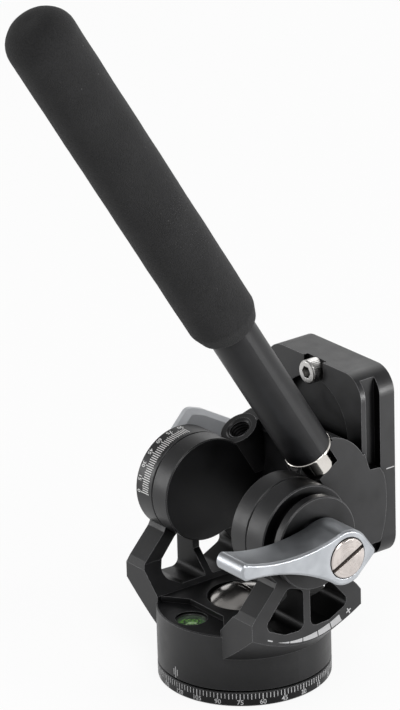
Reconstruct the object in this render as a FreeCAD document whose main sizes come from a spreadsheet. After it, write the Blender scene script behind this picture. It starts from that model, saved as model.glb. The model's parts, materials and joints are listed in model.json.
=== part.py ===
"""Pan and tilt head with a side handle: a parametric FreeCAD model in millimetres.

Frame: the origin is on the pan axis at the underside of the base, +Z is up, +X runs along the tilt axis
towards the drag lever, and +Y is the side of the upright camera platform.
"""
import FreeCAD, Part
import math
import os
import re

import Sketcher
from FreeCAD import Placement, Rotation, Vector

doc = FreeCAD.newDocument("pan_tilt_head")
sheet = doc.addObject("Spreadsheet::Sheet", "Size")

# ---------------------------------------------------------------- driving dimensions
SIZES = {
    # base and pan bearing
    "base_radius": 30.0,
    "scale_height": 5.3,
    "pan_gap": 0.3,
    "base_bevel": 0.5,
    "edge": 0.4,
    "thread_radius": 4.05,
    "bush_radius": 7.0,
    "bush_height": 12.0,
    "axle_flange_radius": 13.5,
    "axle_flange_height": 3.0,
    "axle_radius": 9.0,
    "axle_shoulder": 20.2,
    "axle_thread_radius": 6.0,
    "axle_top": 25.2,
    "pan_bush_wall": 2.0,
    "running_fit": 0.04,
    "free_gap": 0.5,
    "glide_inner": 17.0,
    "glide_outer": 26.0,
    "glide_depth": 1.2,
    "glide_fit": 0.05,
    "washer_height": 1.5,
    "spring_height": 1.0,
    "nut_height": 2.4,
    "washer_radius": 11.5,
    "nut_pocket_radius": 12.5,
    "pan_bearing_top": 20.5,
    "base_screw_circle": 10.4,
    "base_screw_head_radius": 2.6,
    "base_screw_head_height": 2.6,
    "base_screw_radius": 1.5,
    # pan body and yoke
    "rim_height": 26.0,
    "plateau_height": 28.0,
    "plateau_half": 17.6,
    "flare_start": 17.6,
    "flare_rise": 68.0,
    "arm_half_depth": 23.5,
    "arm_thickness": 9.05,
    "arm_corner_low": 35.5,
    "arm_corner_high": 37.9,
    "arm_corner_in": 1.8,
    "arm_neck_half": 13.6,
    "arm_neck_height": 46.6,
    "inner_slope_top": 37.0,
    "tilt_height": 61.4,
    "ear_radius": 18.4,
    "side_gap": 0.15,
    "rib_half": 1.4,
    "window_bottom": 27.9,
    "window_top": 42.6,
    "window_sill_across": 9.5,
    "window_sill": 28.2,
    "window_peak_across": 8.0,
    "window_peak": 45.2,
    "window_far_across": 18.6,
    "window_far": 32.6,
    "window_round": 2.6,
    "window_start": 19.0,
    "ledge_front": 15.8,
    "ledge_half": 9.2,
    "ledge_corner": 21.8,
    # centre cap and level
    "cap_base": 26.7,
    "cap_radius": 12.0,
    "cap_dome": 5.0,
    "cap_slot": 1.6,
    "level_inset": 7.6,
    "level_radius": 5.6,
    "level_wall": 0.8,
    "level_depth": 4.6,
    "level_proud": -0.9,
    "level_lens": 1.0,
    "bubble_radius": 2.0,
    "bubble_height": 0.9,
    # pan lock
    "lock_angle": 143.0,
    "lock_height": 12.4,
    "lock_screw_radius": 3.0,
    "lock_knob_radius": 8.0,
    "lock_knob_gap": 3.0,
    "lock_knob_length": 11.6,
    "lock_neck_radius": 4.2,
    "lock_shoe_length": 4.9,
    # tilt cradle
    "cradle_half": 26.0,
    "cheek_thickness": 8.0,
    "pivot_radius": 6.0,
    "pivot_bush_wall": 2.0,
    "pivot_depth": 6.0,
    "lever_screw_end": 24.0,
    "ear_web": 3.85,
    "pocket_radius": 14.5,
    "disc_height": 0.95,
    "disc_spring_height": 1.95,
    "disc_spring_plate": 0.8,
    "web_front": 22.5,
    "web_top": 82.0,
    "shoulder_low": 46.0,
    "shoulder_lift": 1.2,
    "shoulder_high": 73.3,
    "shoulder_end": 39.1,
    "shoulder_turn": 70.6,
    "shoulder_turn_across": 40.8,
    "shoulder_side": 66.0,
    "shoulder_top": 80.0,
    "shoulder_radius": 41.9,
    "shoulder_depth": 4.5,
    "cheek_top": 82.0,
    "near_cheek_top": 78.0,
    "cheek_top_across": 25.0,
    "cheek_bend": 80.2,
    "cheek_bend_across": 17.2,
    "cheek_foot_across": 9.5,
    "arch_radius": 19.8,
    "arch_across": 14.3,
    "arch_height": 70.6,
    "cheek_low": 44.0,
    # handle
    "handle_side": 22.0,
    "handle_lean": 31.6,
    "boss_reach": 16.7,
    "boss_rise": 17.1,
    "boss_radius": 6.8,
    "boss_depth": 16.0,
    "boss_face_radius": 7.0,
    "tube_room_radius": 8.8,
    "tube_room": 0.4,
    "boss_hole_depth": 13.0,
    "handle_thread_radius": 4.2,
    "port_chamfer": 0.6,
    "collar_radius": 5.6,
    "collar_length": 8.3,
    "collar_rim_radius": 8.5,
    "collar_rim": 1.1,
    "tube_radius": 8.25,
    "tube_wall": 1.6,
    "tube_length": 199.6,
    "tube_foot": 7.0,
    "grip_start": 70.3,
    "grip_end": 212.8,
    "grip_radius": 12.1,
    "grip_round_low": 3.5,
    "grip_round_high": 9.0,
    "grip_cap": 3.0,
    # platform
    "platform_half_width": 25.6,
    "platform_length": 69.0,
    "platform_lift": 10.8,
    "platform_back": 32.6,
    "platform_thickness": 14.5,
    "platform_corner": 8.5,
    "flange_thickness": 2.0,
    "groove_width": 6.1,
    "groove_depth": 3.1,
    "relief_depth": 3.0,
    "relief_radius": 18.0,
    "relief_centre": 82.0,
    "seat_half_length": 31.0,
    "dovetail_half": 19.0,
    "dovetail_neck_half": 16.4,
    "dovetail_base": 1.2,
    "plate_end_gap": 1.0,
    "plate_proud": 0.7,
    "plate_fit": 0.15,
    "pad_height": 0.6,
    "pad_inner": 6.0,
    "pad_outer": 15.0,
    "pad_half_length": 26.0,
    "camera_screw_radius": 3.1,
    "camera_shank_radius": 2.7,
    "camera_screw_reach": 5.0,
    "camera_head_radius": 6.0,
    "camera_head_height": 2.8,
    "screw_slot_half": 10.0,
    "stop_screw_radius": 2.5,
    "stop_head_radius": 4.2,
    "stop_head_height": 5.0,
    "stop_head_proud": 3.2,
    "stop_screw_inset": 4.2,
    "stop_screw_length": 7.6,
    "platform_screw_radius": 2.0,
    "platform_screw_head_radius": 3.5,
    "platform_screw_head_height": 4.0,
    "platform_screw_pitch": 16.0,
    "platform_screw_low": 55.0,
    "platform_screw_length": 12.5,
    # quick-release jaw
    "jaw_foot_half": 10.0,
    "clamp_screw_radius": 2.5,
    "clamp_screw_end": 8.0,
    "clamp_knob_radius": 7.0,
    "clamp_knob_length": 6.0,
    "clamp_neck_radius": 4.2,
    "guide_pin_radius": 1.2,
    "guide_pin_spread": 7.0,
    "guide_pin_end": 14.0,
    # drag lever
    "drag_cap_neck": 14.4,
    "drag_cap_start": 38.2,
    "drag_cap_radius": 16.4,
    "drag_cap_end": 41.7,
    "drag_lever_start": 43.0,
    "drag_lever_face": 57.5,
    "drag_screw_radius": 7.0,
    "drag_screw_ring": 0.3,
    "drag_screw_seat": 46.0,
    "drag_screw_face": 58.1,
    "lever_shank_radius": 3.0,
    "lever_hub_radius": 9.7,
    "lever_point": 12.7,
    "lever_length": 44.0,
    "lever_rise": 6.9,
    "lever_tip_height": 6.2,
    "lever_tip_inset": 2.0,
    "lever_waist": 24.0,
    "lever_waist_top": 6.6,
    "lever_waist_low": 0.9,
    "lever_corner": 1.8,
    "lever_edge": 0.7,
    "screw_slot_width": 1.5,
    "screw_slot_depth": 1.4,
    # lock lever
    "lock_cap_end": 36.2,
    "lock_lever_start": 36.35,
    "lock_lever_face": 40.6,
    "lock_hub_radius": 10.5,
    "lock_peak_across": 6.8,
    "lock_peak_up": 21.9,
    "lock_brow_across": 9.2,
    "lock_brow_up": 21.6,
    "lock_slope_across": 13.7,
    "lock_slope_up": 20.0,
    "lock_tip_reach": 44.0,
    "lock_tip_height": 2.4,
    "lock_tip_width": 8.5,
    "lock_corner": 3.0,
    "lock_inner_edge": 1.8,
    "lock_screw_head": 5.5,
    "lock_screw_seat": 38.5,
    "lock_screw_face": 41.0,
}

# Sizes worked out from the driving ones.
DERIVED = {
    "body_floor": "scale_height + pan_gap",
    "axle_bore": "axle_radius + pan_bush_wall",
    "flange_room": "axle_flange_radius + free_gap",
    "flange_top": "scale_height + axle_flange_height",
    "pan_bush_floor": "scale_height + axle_flange_height + free_gap",
    "level_reach": "base_radius - level_inset",
    "lock_knob_start": "base_radius + lock_knob_gap",
    "boss_height": "tilt_height + boss_rise",
    "plate_half_length": "seat_half_length - plate_end_gap",
    "ear_inner": "cradle_half + side_gap",
    "ear_outer": "cradle_half + side_gap + arm_thickness",
    "ear_pocket": "cradle_half + side_gap + ear_web",
    "cheek_inner": "cradle_half - cheek_thickness",
    "shoulder_face": "cradle_half + shoulder_lift",
    "platform_middle": "tilt_height + platform_lift",
    "platform_low": "platform_middle - platform_length / 2",
    "platform_high": "platform_middle + platform_length / 2",
    "platform_face": "platform_back + platform_thickness",
    "groove_near": "platform_back + flange_thickness",
    "seat_floor": "platform_back + flange_thickness + groove_width",
    "plate_face": "platform_face + plate_proud",
    "plate_floor": "seat_floor + plate_fit",
    "dovetail_low": "seat_floor + plate_fit + dovetail_base",
    "dovetail_high": "seat_floor + plate_fit + dovetail_base + dovetail_half - dovetail_neck_half",
    "clamp_screw_line": "groove_near + groove_width / 2",
    "washer_top": "pan_bearing_top + running_fit + washer_height",
    "spring_top": "washer_top + spring_height",
    "nut_top": "spring_top + nut_height",
    "stop_screw_height": "platform_high - stop_screw_inset",
    "tube_start": "collar_length + collar_rim",
    "tube_end": "tube_start + tube_length",
    "disc_top": "ear_pocket + disc_height",
    "spring_end": "disc_top + disc_spring_height",
    "pivot_end": "disc_top + disc_spring_height",
}
FUNCTIONS = ("sin", "cos", "tan", "sqrt")


def fill_sheet():
    """Write every size into the sheet: name in column A, value or formula in column B."""
    rows = list(SIZES.items()) + [(name, "=" + rule) for name, rule in DERIVED.items()]
    for row, (name, content) in enumerate(rows, start=1):
        sheet.set("A%d" % row, name)
        sheet.setAlias("B%d" % row, name)
        sheet.set("B%d" % row, str(content))
    doc.recompute()


def sized(rule):
    """Turn a rule such as 'ear_outer - edge' into an expression that reads the sheet."""
    def word(match):
        name = match.group(0)
        return name if name in FUNCTIONS else "Size." + name
    return re.sub(r"[a-z][a-z_]+", word, str(rule))


def size(name):
    """The present value of one cell of the sheet."""
    return float(sheet.get(name))


# ---------------------------------------------------------------- frames of the turned pieces
TURN_X = Vector(1, 0, 0)
TURN_Y = Vector(0, 1, 0)
TURN_Z = Vector(0, 0, 1)
FRAMES = {
    "pan": ((0, 0, 0), TURN_Z, 0),
    "near": ((0, 0, "tilt_height"), TURN_Y, 90),
    "far": ((0, 0, "tilt_height"), TURN_Y, -90),
    "handle": (("handle_side", "boss_reach", "boss_height"), TURN_X, "handle_lean"),
    "spare": (("-handle_side", "boss_reach", "boss_height"), TURN_X, "handle_lean"),
    "level": ((0, "-level_reach", 0), TURN_Z, 0),
    "arch": ((0, "arch_across", "arch_height"), TURN_Y, 90),
    "stop": ((0, "platform_back", "stop_screw_height"), TURN_X, -90),
    "camera": ((0, 0, "platform_middle"), TURN_X, -90),
    "clamp": ((0, "clamp_screw_line", "platform_middle"), TURN_Y, -90),
    "pin_low": ((0, "clamp_screw_line", "platform_middle - guide_pin_spread"), TURN_Y, -90),
    "pin_high": ((0, "clamp_screw_line", "platform_middle + guide_pin_spread"), TURN_Y, -90),
    "screw_low": ((0, "web_front", "platform_screw_low"), TURN_X, -90),
    "screw_high": ((0, "web_front", "platform_screw_low + platform_screw_pitch"), TURN_X, -90),
}


def place(piece, frame):
    """Put a piece in one of the frames, bound to the sheet."""
    base, axis, angle = FRAMES[frame]
    turned_by = size(angle) if isinstance(angle, str) else angle
    piece.Placement = Placement(Vector(0, 0, 0), Rotation(axis, turned_by))
    for letter, rule in zip("xyz", base):
        if rule != 0:
            piece.setExpression("Placement.Base." + letter, sized(rule))
    if isinstance(angle, str):
        piece.setExpression("Placement.Rotation.Angle", sized(angle) + " * 1 deg")
    return piece


# ---------------------------------------------------------------- building blocks
def outline(body, plane, points, start=None):
    """A closed sketch of straight sides whose corners are bound to the sheet, one rule per coordinate."""
    sketch = body.newObject("Sketcher::SketchObject", body.Name + "_outline")
    origin_plane = [item for item in body.Origin.OriginFeatures if item.Role == plane][0]
    sketch.AttachmentSupport = [(origin_plane, "")]
    sketch.MapMode = "FlatFace"
    if start is not None:
        sketch.setExpression("AttachmentOffset.Base.z", sized(start))
    count = len(points)
    turn = 2 * math.pi / count
    rough = [Vector(math.cos(turn * i), math.sin(turn * i), 0) for i in range(count)]
    sides = [Part.LineSegment(rough[i], rough[(i + 1) % count]) for i in range(count)]
    sketch.addGeometry(sides, False)
    rules = []
    for i in range(count):
        sketch.addConstraint(Sketcher.Constraint("Coincident", i, 2, (i + 1) % count, 1))
    for i, (across, along) in enumerate(points):
        for kind, rule, value in (("DistanceX", across, rough[i].x), ("DistanceY", along, rough[i].y)):
            number = sketch.addConstraint(Sketcher.Constraint(kind, -1, 1, i, 1, value))
            rules.append((number, rule))
    for number, rule in rules:
        sketch.setExpression("Constraints[%d]" % number, sized(rule))
    return sketch


def turned(label, frame, profile):
    """A turned piece: corners are (radius, height along the frame's own Z)."""
    body = doc.addObject("PartDesign::Body", label)
    body.Label = label
    sketch = outline(body, "XZ_Plane", profile)
    turn = body.newObject("PartDesign::Revolution", label + "_turn")
    turn.Profile = sketch
    turn.ReferenceAxis = (sketch, ["V_Axis"])
    turn.Angle = 360
    sketch.Visibility = False
    return place(body, frame)


def slab(label, plane, points, start, length, rounds=None):
    """A straight piece: an outline on an origin plane, extruded from start by length along +X, +Y or +Z.

    rounds maps a radius rule to the numbers of the corners that it rounds.
    """
    body = doc.addObject("PartDesign::Body", label)
    body.Label = label
    backwards = plane == "XZ_Plane"
    sketch = outline(body, plane, points, "-(%s)" % start if backwards else start)
    pad = body.newObject("PartDesign::Pad", label + "_pad")
    pad.Profile = sketch
    pad.Reversed = backwards
    pad.setExpression("Length", sized(length))
    sketch.Visibility = False
    for radius, corners in (rounds or {}).items():
        doc.recompute()
        spots = [sketch.Placement.multVec(sketch.Geometry[i].StartPoint) for i in corners]
        normal = sketch.Placement.Rotation.multVec(Vector(0, 0, 1))
        names = []
        for number, edge in enumerate(body.Tip.Shape.Edges, start=1):
            ends = [vertex.Point for vertex in edge.Vertexes]
            if len(ends) != 2 or abs((ends[1] - ends[0]).normalize().dot(normal)) < 0.999:
                continue
            if any((ends[0] - spot).cross(normal).Length < 1e-4 for spot in spots):
                names.append("Edge%d" % number)
        sharp = body.Tip
        fillet = body.newObject("PartDesign::Fillet", label + "_round")
        fillet.Base = (sharp, names)
        fillet.setExpression("Radius", sized(radius))
        body.Tip = fillet
    return body


def round_circle(body, radius, height, rule):
    """Round the edge of a turned body that runs at this radius and height."""
    doc.recompute()
    names = []
    for number, edge in enumerate(body.Tip.Shape.Edges, start=1):
        curve = edge.Curve
        if isinstance(curve, Part.Circle) and abs(curve.Radius - size(radius)) < 1e-4:
            if abs(curve.Center.z - size(height)) < 1e-3:
                names.append("Edge%d" % number)
    sharp = body.Tip
    fillet = body.newObject("PartDesign::Fillet", "%s_%s" % (body.Label, rule))
    fillet.Base = (sharp, names)
    fillet.setExpression("Radius", sized(rule))
    body.Tip = fillet
    return body


def joined(label, pieces):
    fuse = doc.addObject("Part::MultiFuse", label)
    fuse.Label = label
    fuse.Shapes = pieces
    return fuse


def cut(label, base, tools):
    """base without the tools."""
    tool = tools[0] if len(tools) == 1 else joined(label + "_tools", tools)
    result = doc.addObject("Part::Cut", label)
    result.Label = label
    result.Base = base
    result.Tool = tool
    return result


def shared(label, first, second):
    result = doc.addObject("Part::MultiCommon", label)
    result.Label = label
    result.Shapes = [first, second]
    return result


def rod(label, frame, radius, low, high):
    return turned(label, frame, [(0, low), (radius, low), (radius, high), (0, high)])


def ring(label, frame, inner, outer, low, high):
    return turned(label, frame, [(inner, low), (outer, low), (outer, high), (inner, high)])


def block(label, plane, low, high, start, length):
    """A rectangular slab between two corners (across, along)."""
    corners = [low, (high[0], low[1]), high, (low[0], high[1])]
    return slab(label, plane, corners, start, length)


def mirrored(points):
    """The same corners on the other side of the outline's vertical axis."""
    return [("-(%s)" % across, along) for across, along in reversed(points)]


# ---------------------------------------------------------------- base (fixed to the tripod)
def base_screw_places():
    return [120 * i + 30 for i in range(3)]


def around_pan(label, piece, angle):
    """A copy of a turned piece moved out to the screw circle of the base."""
    piece.setExpression("Placement.Base.x", sized("base_screw_circle") + " * cos(%d)" % angle)
    piece.setExpression("Placement.Base.y", sized("base_screw_circle") + " * sin(%d)" % angle)
    return piece


def base_screw(label, angle):
    profile = [
        (0, "edge"), ("base_screw_head_radius", "edge"),
        ("base_screw_head_radius", "edge + base_screw_head_height"),
        ("base_screw_radius", "edge + base_screw_head_height"),
        ("base_screw_radius", "flange_top - edge"), (0, "flange_top - edge"),
    ]
    return around_pan(label, turned(label, "pan", profile), angle)


def base_screw_hole(label, angle):
    profile = [
        (0, "-edge"), ("base_screw_head_radius", "-edge"),
        ("base_screw_head_radius", "edge + base_screw_head_height"),
        ("base_screw_radius", "edge + base_screw_head_height"),
        ("base_screw_radius", "flange_top - edge"), (0, "flange_top - edge"),
    ]
    return around_pan(label, turned(label, "pan", profile), angle)


def make_base():
    disc = turned("base_disc_solid", "pan", [
        ("bush_radius", 0), ("base_radius - base_bevel", 0), ("base_radius", "base_bevel"),
        ("base_radius", "scale_height - edge"), ("base_radius - edge", "scale_height"),
        ("glide_outer", "scale_height"), ("glide_outer", "scale_height - glide_depth"),
        ("glide_inner", "scale_height - glide_depth"), ("glide_inner", "scale_height"),
        ("bush_radius", "scale_height"),
    ])
    axle = turned("pan_axle_solid", "pan", [
        ("bush_radius", "scale_height"), ("axle_flange_radius", "scale_height"),
        ("axle_flange_radius", "flange_top"), ("axle_radius", "flange_top"),
        ("axle_radius", "axle_shoulder"), ("axle_thread_radius", "axle_shoulder"),
        ("axle_thread_radius", "axle_top - edge"), ("axle_thread_radius - edge", "axle_top"),
        (0, "axle_top"), (0, "bush_height + edge"), ("bush_radius", "bush_height + edge"),
    ])
    holes = [base_screw_hole("disc_hole_%d" % i, angle) for i, angle in enumerate(base_screw_places())]
    threads = [base_screw_hole("axle_hole_%d" % i, angle) for i, angle in enumerate(base_screw_places())]
    screws = [base_screw("axle_screw_%d" % i, angle) for i, angle in enumerate(base_screw_places())]
    return [
        cut("base_disc", disc, holes),
        cut("pan_axle", axle, threads),
        joined("axle_screws", screws),
        ring("tripod_bush", "pan", "thread_radius", "bush_radius", 0, "bush_height"),
        ring("glide_ring", "pan", "glide_inner + glide_fit", "glide_outer - glide_fit",
             "scale_height - glide_depth", "body_floor - glide_fit"),
        ring("thrust_washer", "pan", "axle_thread_radius + running_fit", "washer_radius",
             "pan_bearing_top + running_fit", "washer_top"),
        turned("spring_washer", "pan", [
            ("axle_thread_radius + running_fit", "washer_top + spring_height / 2"),
            ("washer_radius - edge", "washer_top"),
            ("washer_radius - edge", "washer_top + spring_height / 2"),
            ("axle_thread_radius + running_fit", "spring_top"),
        ]),
        axle_nut(),
    ]


def axle_nut():
    nut = ring("axle_nut_solid", "pan", "axle_thread_radius", "washer_radius", "spring_top", "nut_top")
    slot = block("axle_nut_slot", "XY_Plane", ("-base_screw_radius", "-nut_pocket_radius"),
                 ("base_screw_radius", "nut_pocket_radius"), "nut_top - edge", "1")
    return cut("axle_nut", nut, [slot])


# ---------------------------------------------------------------- pan body
def yoke_windows():
    corners = [
        ("rib_half", "window_bottom"), ("window_sill_across", "window_sill"),
        ("window_far_across", "window_far"), ("window_peak_across", "window_peak"),
        ("rib_half", "window_top"),
    ]
    tools = []
    reach = "ear_outer - window_start + 1"
    for side, start in (("near", "window_start"), ("far", "-ear_outer - 1")):
        rounds = {"window_round": [0, 1, 2, 3, 4]}
        tools.append(slab(side + "_window_a", "YZ_Plane", corners, start, reach, rounds))
        tools.append(slab(side + "_window_b", "YZ_Plane", mirrored(corners), start, reach, rounds))
    return tools


def yoke_arms():
    half = [
        ("arm_half_depth", "body_floor + edge"), ("arm_half_depth", "arm_corner_low"),
        ("arm_half_depth - arm_corner_in", "arm_corner_high"), ("arm_neck_half", "arm_neck_height"),
        ("arm_neck_half - 3", "arm_neck_height + 6"),
    ]
    arms = slab("arms_solid", "YZ_Plane", half + mirrored(half), "-ear_outer", "2 * ear_outer")
    cone = turned("flare_limit", "pan", [
        (0, "body_floor"), ("base_radius", "body_floor"), ("base_radius", "flare_start"),
        ("base_radius + flare_rise", "flare_start + flare_rise"), (0, "flare_start + flare_rise"),
    ])
    return shared("arms_flared", arms, cone)


def ear(label, frame):
    return turned(label, frame, [
        (0, "ear_inner"), ("ear_radius - edge", "ear_inner"), ("ear_radius", "ear_inner + edge"),
        ("ear_radius", "ear_outer - edge"), ("ear_radius - edge", "ear_outer"), (0, "ear_outer"),
    ])


def ear_bore(label, frame):
    bore = "pivot_radius + pivot_bush_wall"
    return turned(label, frame, [
        (0, "cheek_inner"), (bore, "cheek_inner"), (bore, "ear_pocket"), ("pocket_radius", "ear_pocket"),
        ("pocket_radius", "ear_outer + 1"), (0, "ear_outer + 1"),
    ])


def ledge(label, sign):
    """The low step in front of the plateau, where the level sits, and its twin behind."""
    half = [
        ("ledge_half", "ledge_front"), ("plateau_half", "ledge_corner"),
        ("plateau_half", "base_radius + 1"),
    ]
    corners = [(across, along if sign > 0 else "-(%s)" % along) for across, along in half]
    corners += mirrored(corners)
    return slab(label, "XY_Plane", corners, "rim_height", "plateau_height")


def pan_bore():
    return turned("pan_bore", "pan", [
        (0, 0), ("flange_room", 0), ("flange_room", "pan_bush_floor - free_gap / 2"),
        ("axle_bore", "pan_bush_floor - free_gap / 2"), ("axle_bore", "pan_bearing_top"),
        ("nut_pocket_radius", "pan_bearing_top"), ("nut_pocket_radius", "plateau_height + 1"),
        (0, "plateau_height + 1"),
    ])


def lock_rod(label, radius, low, high):
    """A straight rod on the axis of the pan lock, which points out and level."""
    piece = rod(label, "pan", radius, low, high)
    return place_lock(piece)


def place_lock(piece):
    piece.Placement = Placement(Vector(0, 0, 0), Rotation(lock_direction().cross(TURN_Z) * -1, 90))
    piece.setExpression("Placement.Base.z", sized("lock_height"))
    return piece


def lock_direction():
    angle = math.radians(size("lock_angle"))
    return Vector(math.cos(angle), math.sin(angle), 0)


def make_yoke():
    drum = turned("drum_solid", "pan", [
        (0, "body_floor"), ("base_radius - edge", "body_floor"), ("base_radius", "body_floor + edge"),
        ("base_radius", "rim_height - edge"), ("base_radius - edge", "rim_height"), (0, "rim_height"),
    ])
    inside = slab("yoke_inside", "XZ_Plane", [
        ("-plateau_half", "plateau_height"), ("plateau_half", "plateau_height"),
        ("ear_inner", "inner_slope_top"), ("ear_inner", "tilt_height + 2 * ear_radius"),
        ("-ear_inner", "tilt_height + 2 * ear_radius"), ("-ear_inner", "inner_slope_top"),
    ], "-base_radius", "2 * base_radius")
    arms = cut("arms_open", yoke_arms(), [inside, ledge("front_ledge", -1), ledge("rear_ledge", 1)])
    whole = joined("yoke_solid", [drum, arms, ear("near_ear", "near"), ear("far_ear", "far")])
    level_seat = rod("level_seat", "level", "level_radius", "rim_height - level_depth", "rim_height + 1")
    tools = [pan_bore(), ear_bore("near_bore", "near"), ear_bore("far_bore", "far"), level_seat]
    tools.append(lock_rod("lock_bore", "lock_screw_radius + running_fit", 0, "base_radius + 2"))
    return cut("yoke", whole, tools + yoke_windows())


def make_centre_cap():
    """Domed cover of the axle nut: a plug, a rim and a dome with a coin slot."""
    plug = turned("centre_cap_plug", "pan", [
        (0, "nut_top + edge"), ("nut_pocket_radius - running_fit", "nut_top + edge"),
        ("nut_pocket_radius - running_fit", "cap_base"), (0, "cap_base"),
    ])
    dome = doc.addObject("Part::Sphere", "centre_cap_dome")
    ball = "((cap_radius * cap_radius + cap_dome * cap_dome) / (2 * cap_dome))"
    dome.setExpression("Radius", sized(ball))
    dome.setExpression("Placement.Base.z", sized("cap_base + cap_dome - " + ball))
    above = rod("centre_cap_above", "pan", "cap_radius", "cap_base", "cap_base + cap_dome + 1")
    top = shared("centre_cap_top", dome, above)
    slot = block("centre_cap_slot", "XY_Plane", ("-cap_radius", "-cap_slot / 2"),
                 ("cap_radius", "cap_slot / 2"), "cap_base + cap_dome - 1.6", "cap_dome")
    return cut("centre_cap", joined("centre_cap_solid", [plug, top]), [slot])


def make_level():
    floor = "(rim_height - level_depth)"
    inner = "level_radius - level_wall"
    lens_floor = "(rim_height + level_proud - level_wall / 2 - level_lens)"
    cup = turned("level_cup", "level", [
        (0, floor), ("level_radius", floor), ("level_radius", "rim_height + level_proud"),
        (inner, "rim_height + level_proud"), (inner, floor + " + level_wall"),
        (0, floor + " + level_wall"),
    ])
    lens = rod("level_lens", "level", inner, lens_floor, lens_floor + " + level_lens")
    bubble = rod("level_bubble", "level", "bubble_radius", lens_floor + " - bubble_height", lens_floor)
    room = rod("level_bubble_room", "level", "bubble_radius", lens_floor + " - bubble_height", lens_floor)
    fill = rod("level_fill", "level", inner, floor + " + level_wall", lens_floor)
    return [cup, lens, bubble, cut("level_liquid", fill, [room])]


def make_pan_lock():
    knob = turned("pan_lock_knob", "pan", [
        (0, "base_radius + 1"), ("lock_neck_radius", "base_radius + 1"),
        ("lock_neck_radius", "lock_knob_start"), ("lock_knob_radius - edge", "lock_knob_start"),
        ("lock_knob_radius", "lock_knob_start + edge"),
        ("lock_knob_radius", "lock_knob_start + lock_knob_length - 1"),
        ("lock_knob_radius - 1", "lock_knob_start + lock_knob_length"),
        (0, "lock_knob_start + lock_knob_length"),
    ])
    shoe_end = "axle_radius + running_fit + lock_shoe_length"
    bush = ring("pan_bush_solid", "pan", "axle_radius + running_fit", "axle_bore",
                "pan_bush_floor", "pan_bearing_top")
    bush_hole = lock_rod("pan_bush_hole", "lock_screw_radius + running_fit", 0, "base_radius")
    return [
        place_lock(knob),
        lock_rod("pan_lock_screw", "lock_screw_radius", shoe_end, "base_radius + 1"),
        cut("pan_lock_shoe", lock_rod("shoe_solid", "lock_screw_radius", "axle_radius / 2", shoe_end),
            [rod("shoe_end", "pan", "axle_radius + running_fit", 0, "rim_height")]),
        cut("pan_bush", bush, [bush_hole]),
    ]


def make_ear_fittings(side):
    """Bush, friction disc and disc spring of one ear."""
    spring = turned(side + "_disc_spring", side, [
        ("pivot_radius + free_gap", "disc_top"), ("pocket_radius - free_gap", "disc_top + 1"),
        ("pocket_radius - free_gap", "disc_top + 1 + disc_spring_plate"),
        ("pivot_radius + free_gap", "disc_top + disc_spring_plate"),
    ])
    return [
        ring(side + "_bush", side, "pivot_radius + running_fit", "pivot_radius + pivot_bush_wall",
             "ear_inner", "ear_pocket"),
        ring(side + "_friction_disc", side, "pivot_radius + free_gap", "pocket_radius - running_fit",
             "ear_pocket", "disc_top"),
        spring,
    ]


# ---------------------------------------------------------------- tilting parts
def cheek_solids(side, frame, boss_frame, start, top):
    """Ear disc, lower plate and handle boss of one cheek."""
    disc = turned(side + "_cheek_disc", frame, [
        (0, "cheek_inner"), ("ear_radius - edge", "cheek_inner"), ("ear_radius", "cheek_inner + edge"),
        ("ear_radius", "cradle_half - edge"), ("ear_radius - edge", "cradle_half"), (0, "cradle_half"),
    ])
    plate = slab(side + "_cheek_plate", "YZ_Plane", [
        (0, "cheek_low"), ("platform_back", "shoulder_low"), ("platform_back", top),
        ("cheek_top_across", top + " + edge"), ("cheek_bend_across", "cheek_bend"),
        ("cheek_foot_across", "boss_height - 6"), (0, "tilt_height"),
    ], start, "cheek_thickness")
    return [disc, plate, boss(side, boss_frame, "boss")]


def ear_room(label, side):
    """Room for the yoke's ear beside a cheek."""
    return ring(label + "_ear_room", side, 0, "ear_radius + free_gap", "cradle_half", "ear_outer")


def boss(side, frame, name):
    """The round boss of a handle port, clear of the yoke's ear; the near one ends flush with its arch."""
    label = "%s_%s" % (side, name)
    tools = [ear_room(label, side)]
    if side == "near":
        tools.append(block(label + "_beyond", "XY_Plane", ("shoulder_face", 0),
                           ("2 * shoulder_face", "2 * platform_back"), "shoulder_low", "3 * arch_radius"))
    return cut(label, rod(label + "_solid", frame, "boss_radius", "-boss_depth", 0), tools)


def arch(label):
    """The raised disc behind the handle collar: only the part of it beyond the handle's axis."""
    disc = rod(label + "_disc", "arch", "arch_radius", "cheek_inner", "shoulder_face")
    front = block(label + "_front", "YZ_Plane", ("-2 * arch_radius", "-2 * arch_radius"),
                  (0, "2 * arch_radius"), "-boss_radius", "2 * boss_radius")
    place(front, "handle")
    behind = block(label + "_behind", "XY_Plane", (0, "platform_back"),
                   ("cradle_half - shoulder_depth", "2 * platform_back"), "shoulder_low", "3 * arch_radius")
    return cut(label, disc, [front, behind, ear_room(label, "near")])


def shoulder(name):
    """The outer band beside the platform, which runs round to the tilt axis."""
    plate = slab(name + "_plate", "YZ_Plane", [
        ("ear_radius", "tilt_height"), ("platform_back", "shoulder_low"), ("shoulder_radius + 1", "shoulder_low"),
        ("shoulder_radius + 1", "shoulder_side"), ("shoulder_radius", "shoulder_side"),
        ("shoulder_turn_across", "shoulder_turn"), ("shoulder_end", "shoulder_high"),
        ("platform_back + 2", "shoulder_high + edge"), ("platform_back", "shoulder_top"),
        ("platform_back - 1", "shoulder_top"),
    ], "cradle_half - shoulder_depth", "shoulder_depth + shoulder_lift")
    limit = rod(name + "_limit", "near", "shoulder_radius", "cheek_inner", "shoulder_face")
    return cut(name, shared(name + "_band", plate, limit), [ear_room(name, "near")])


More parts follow.
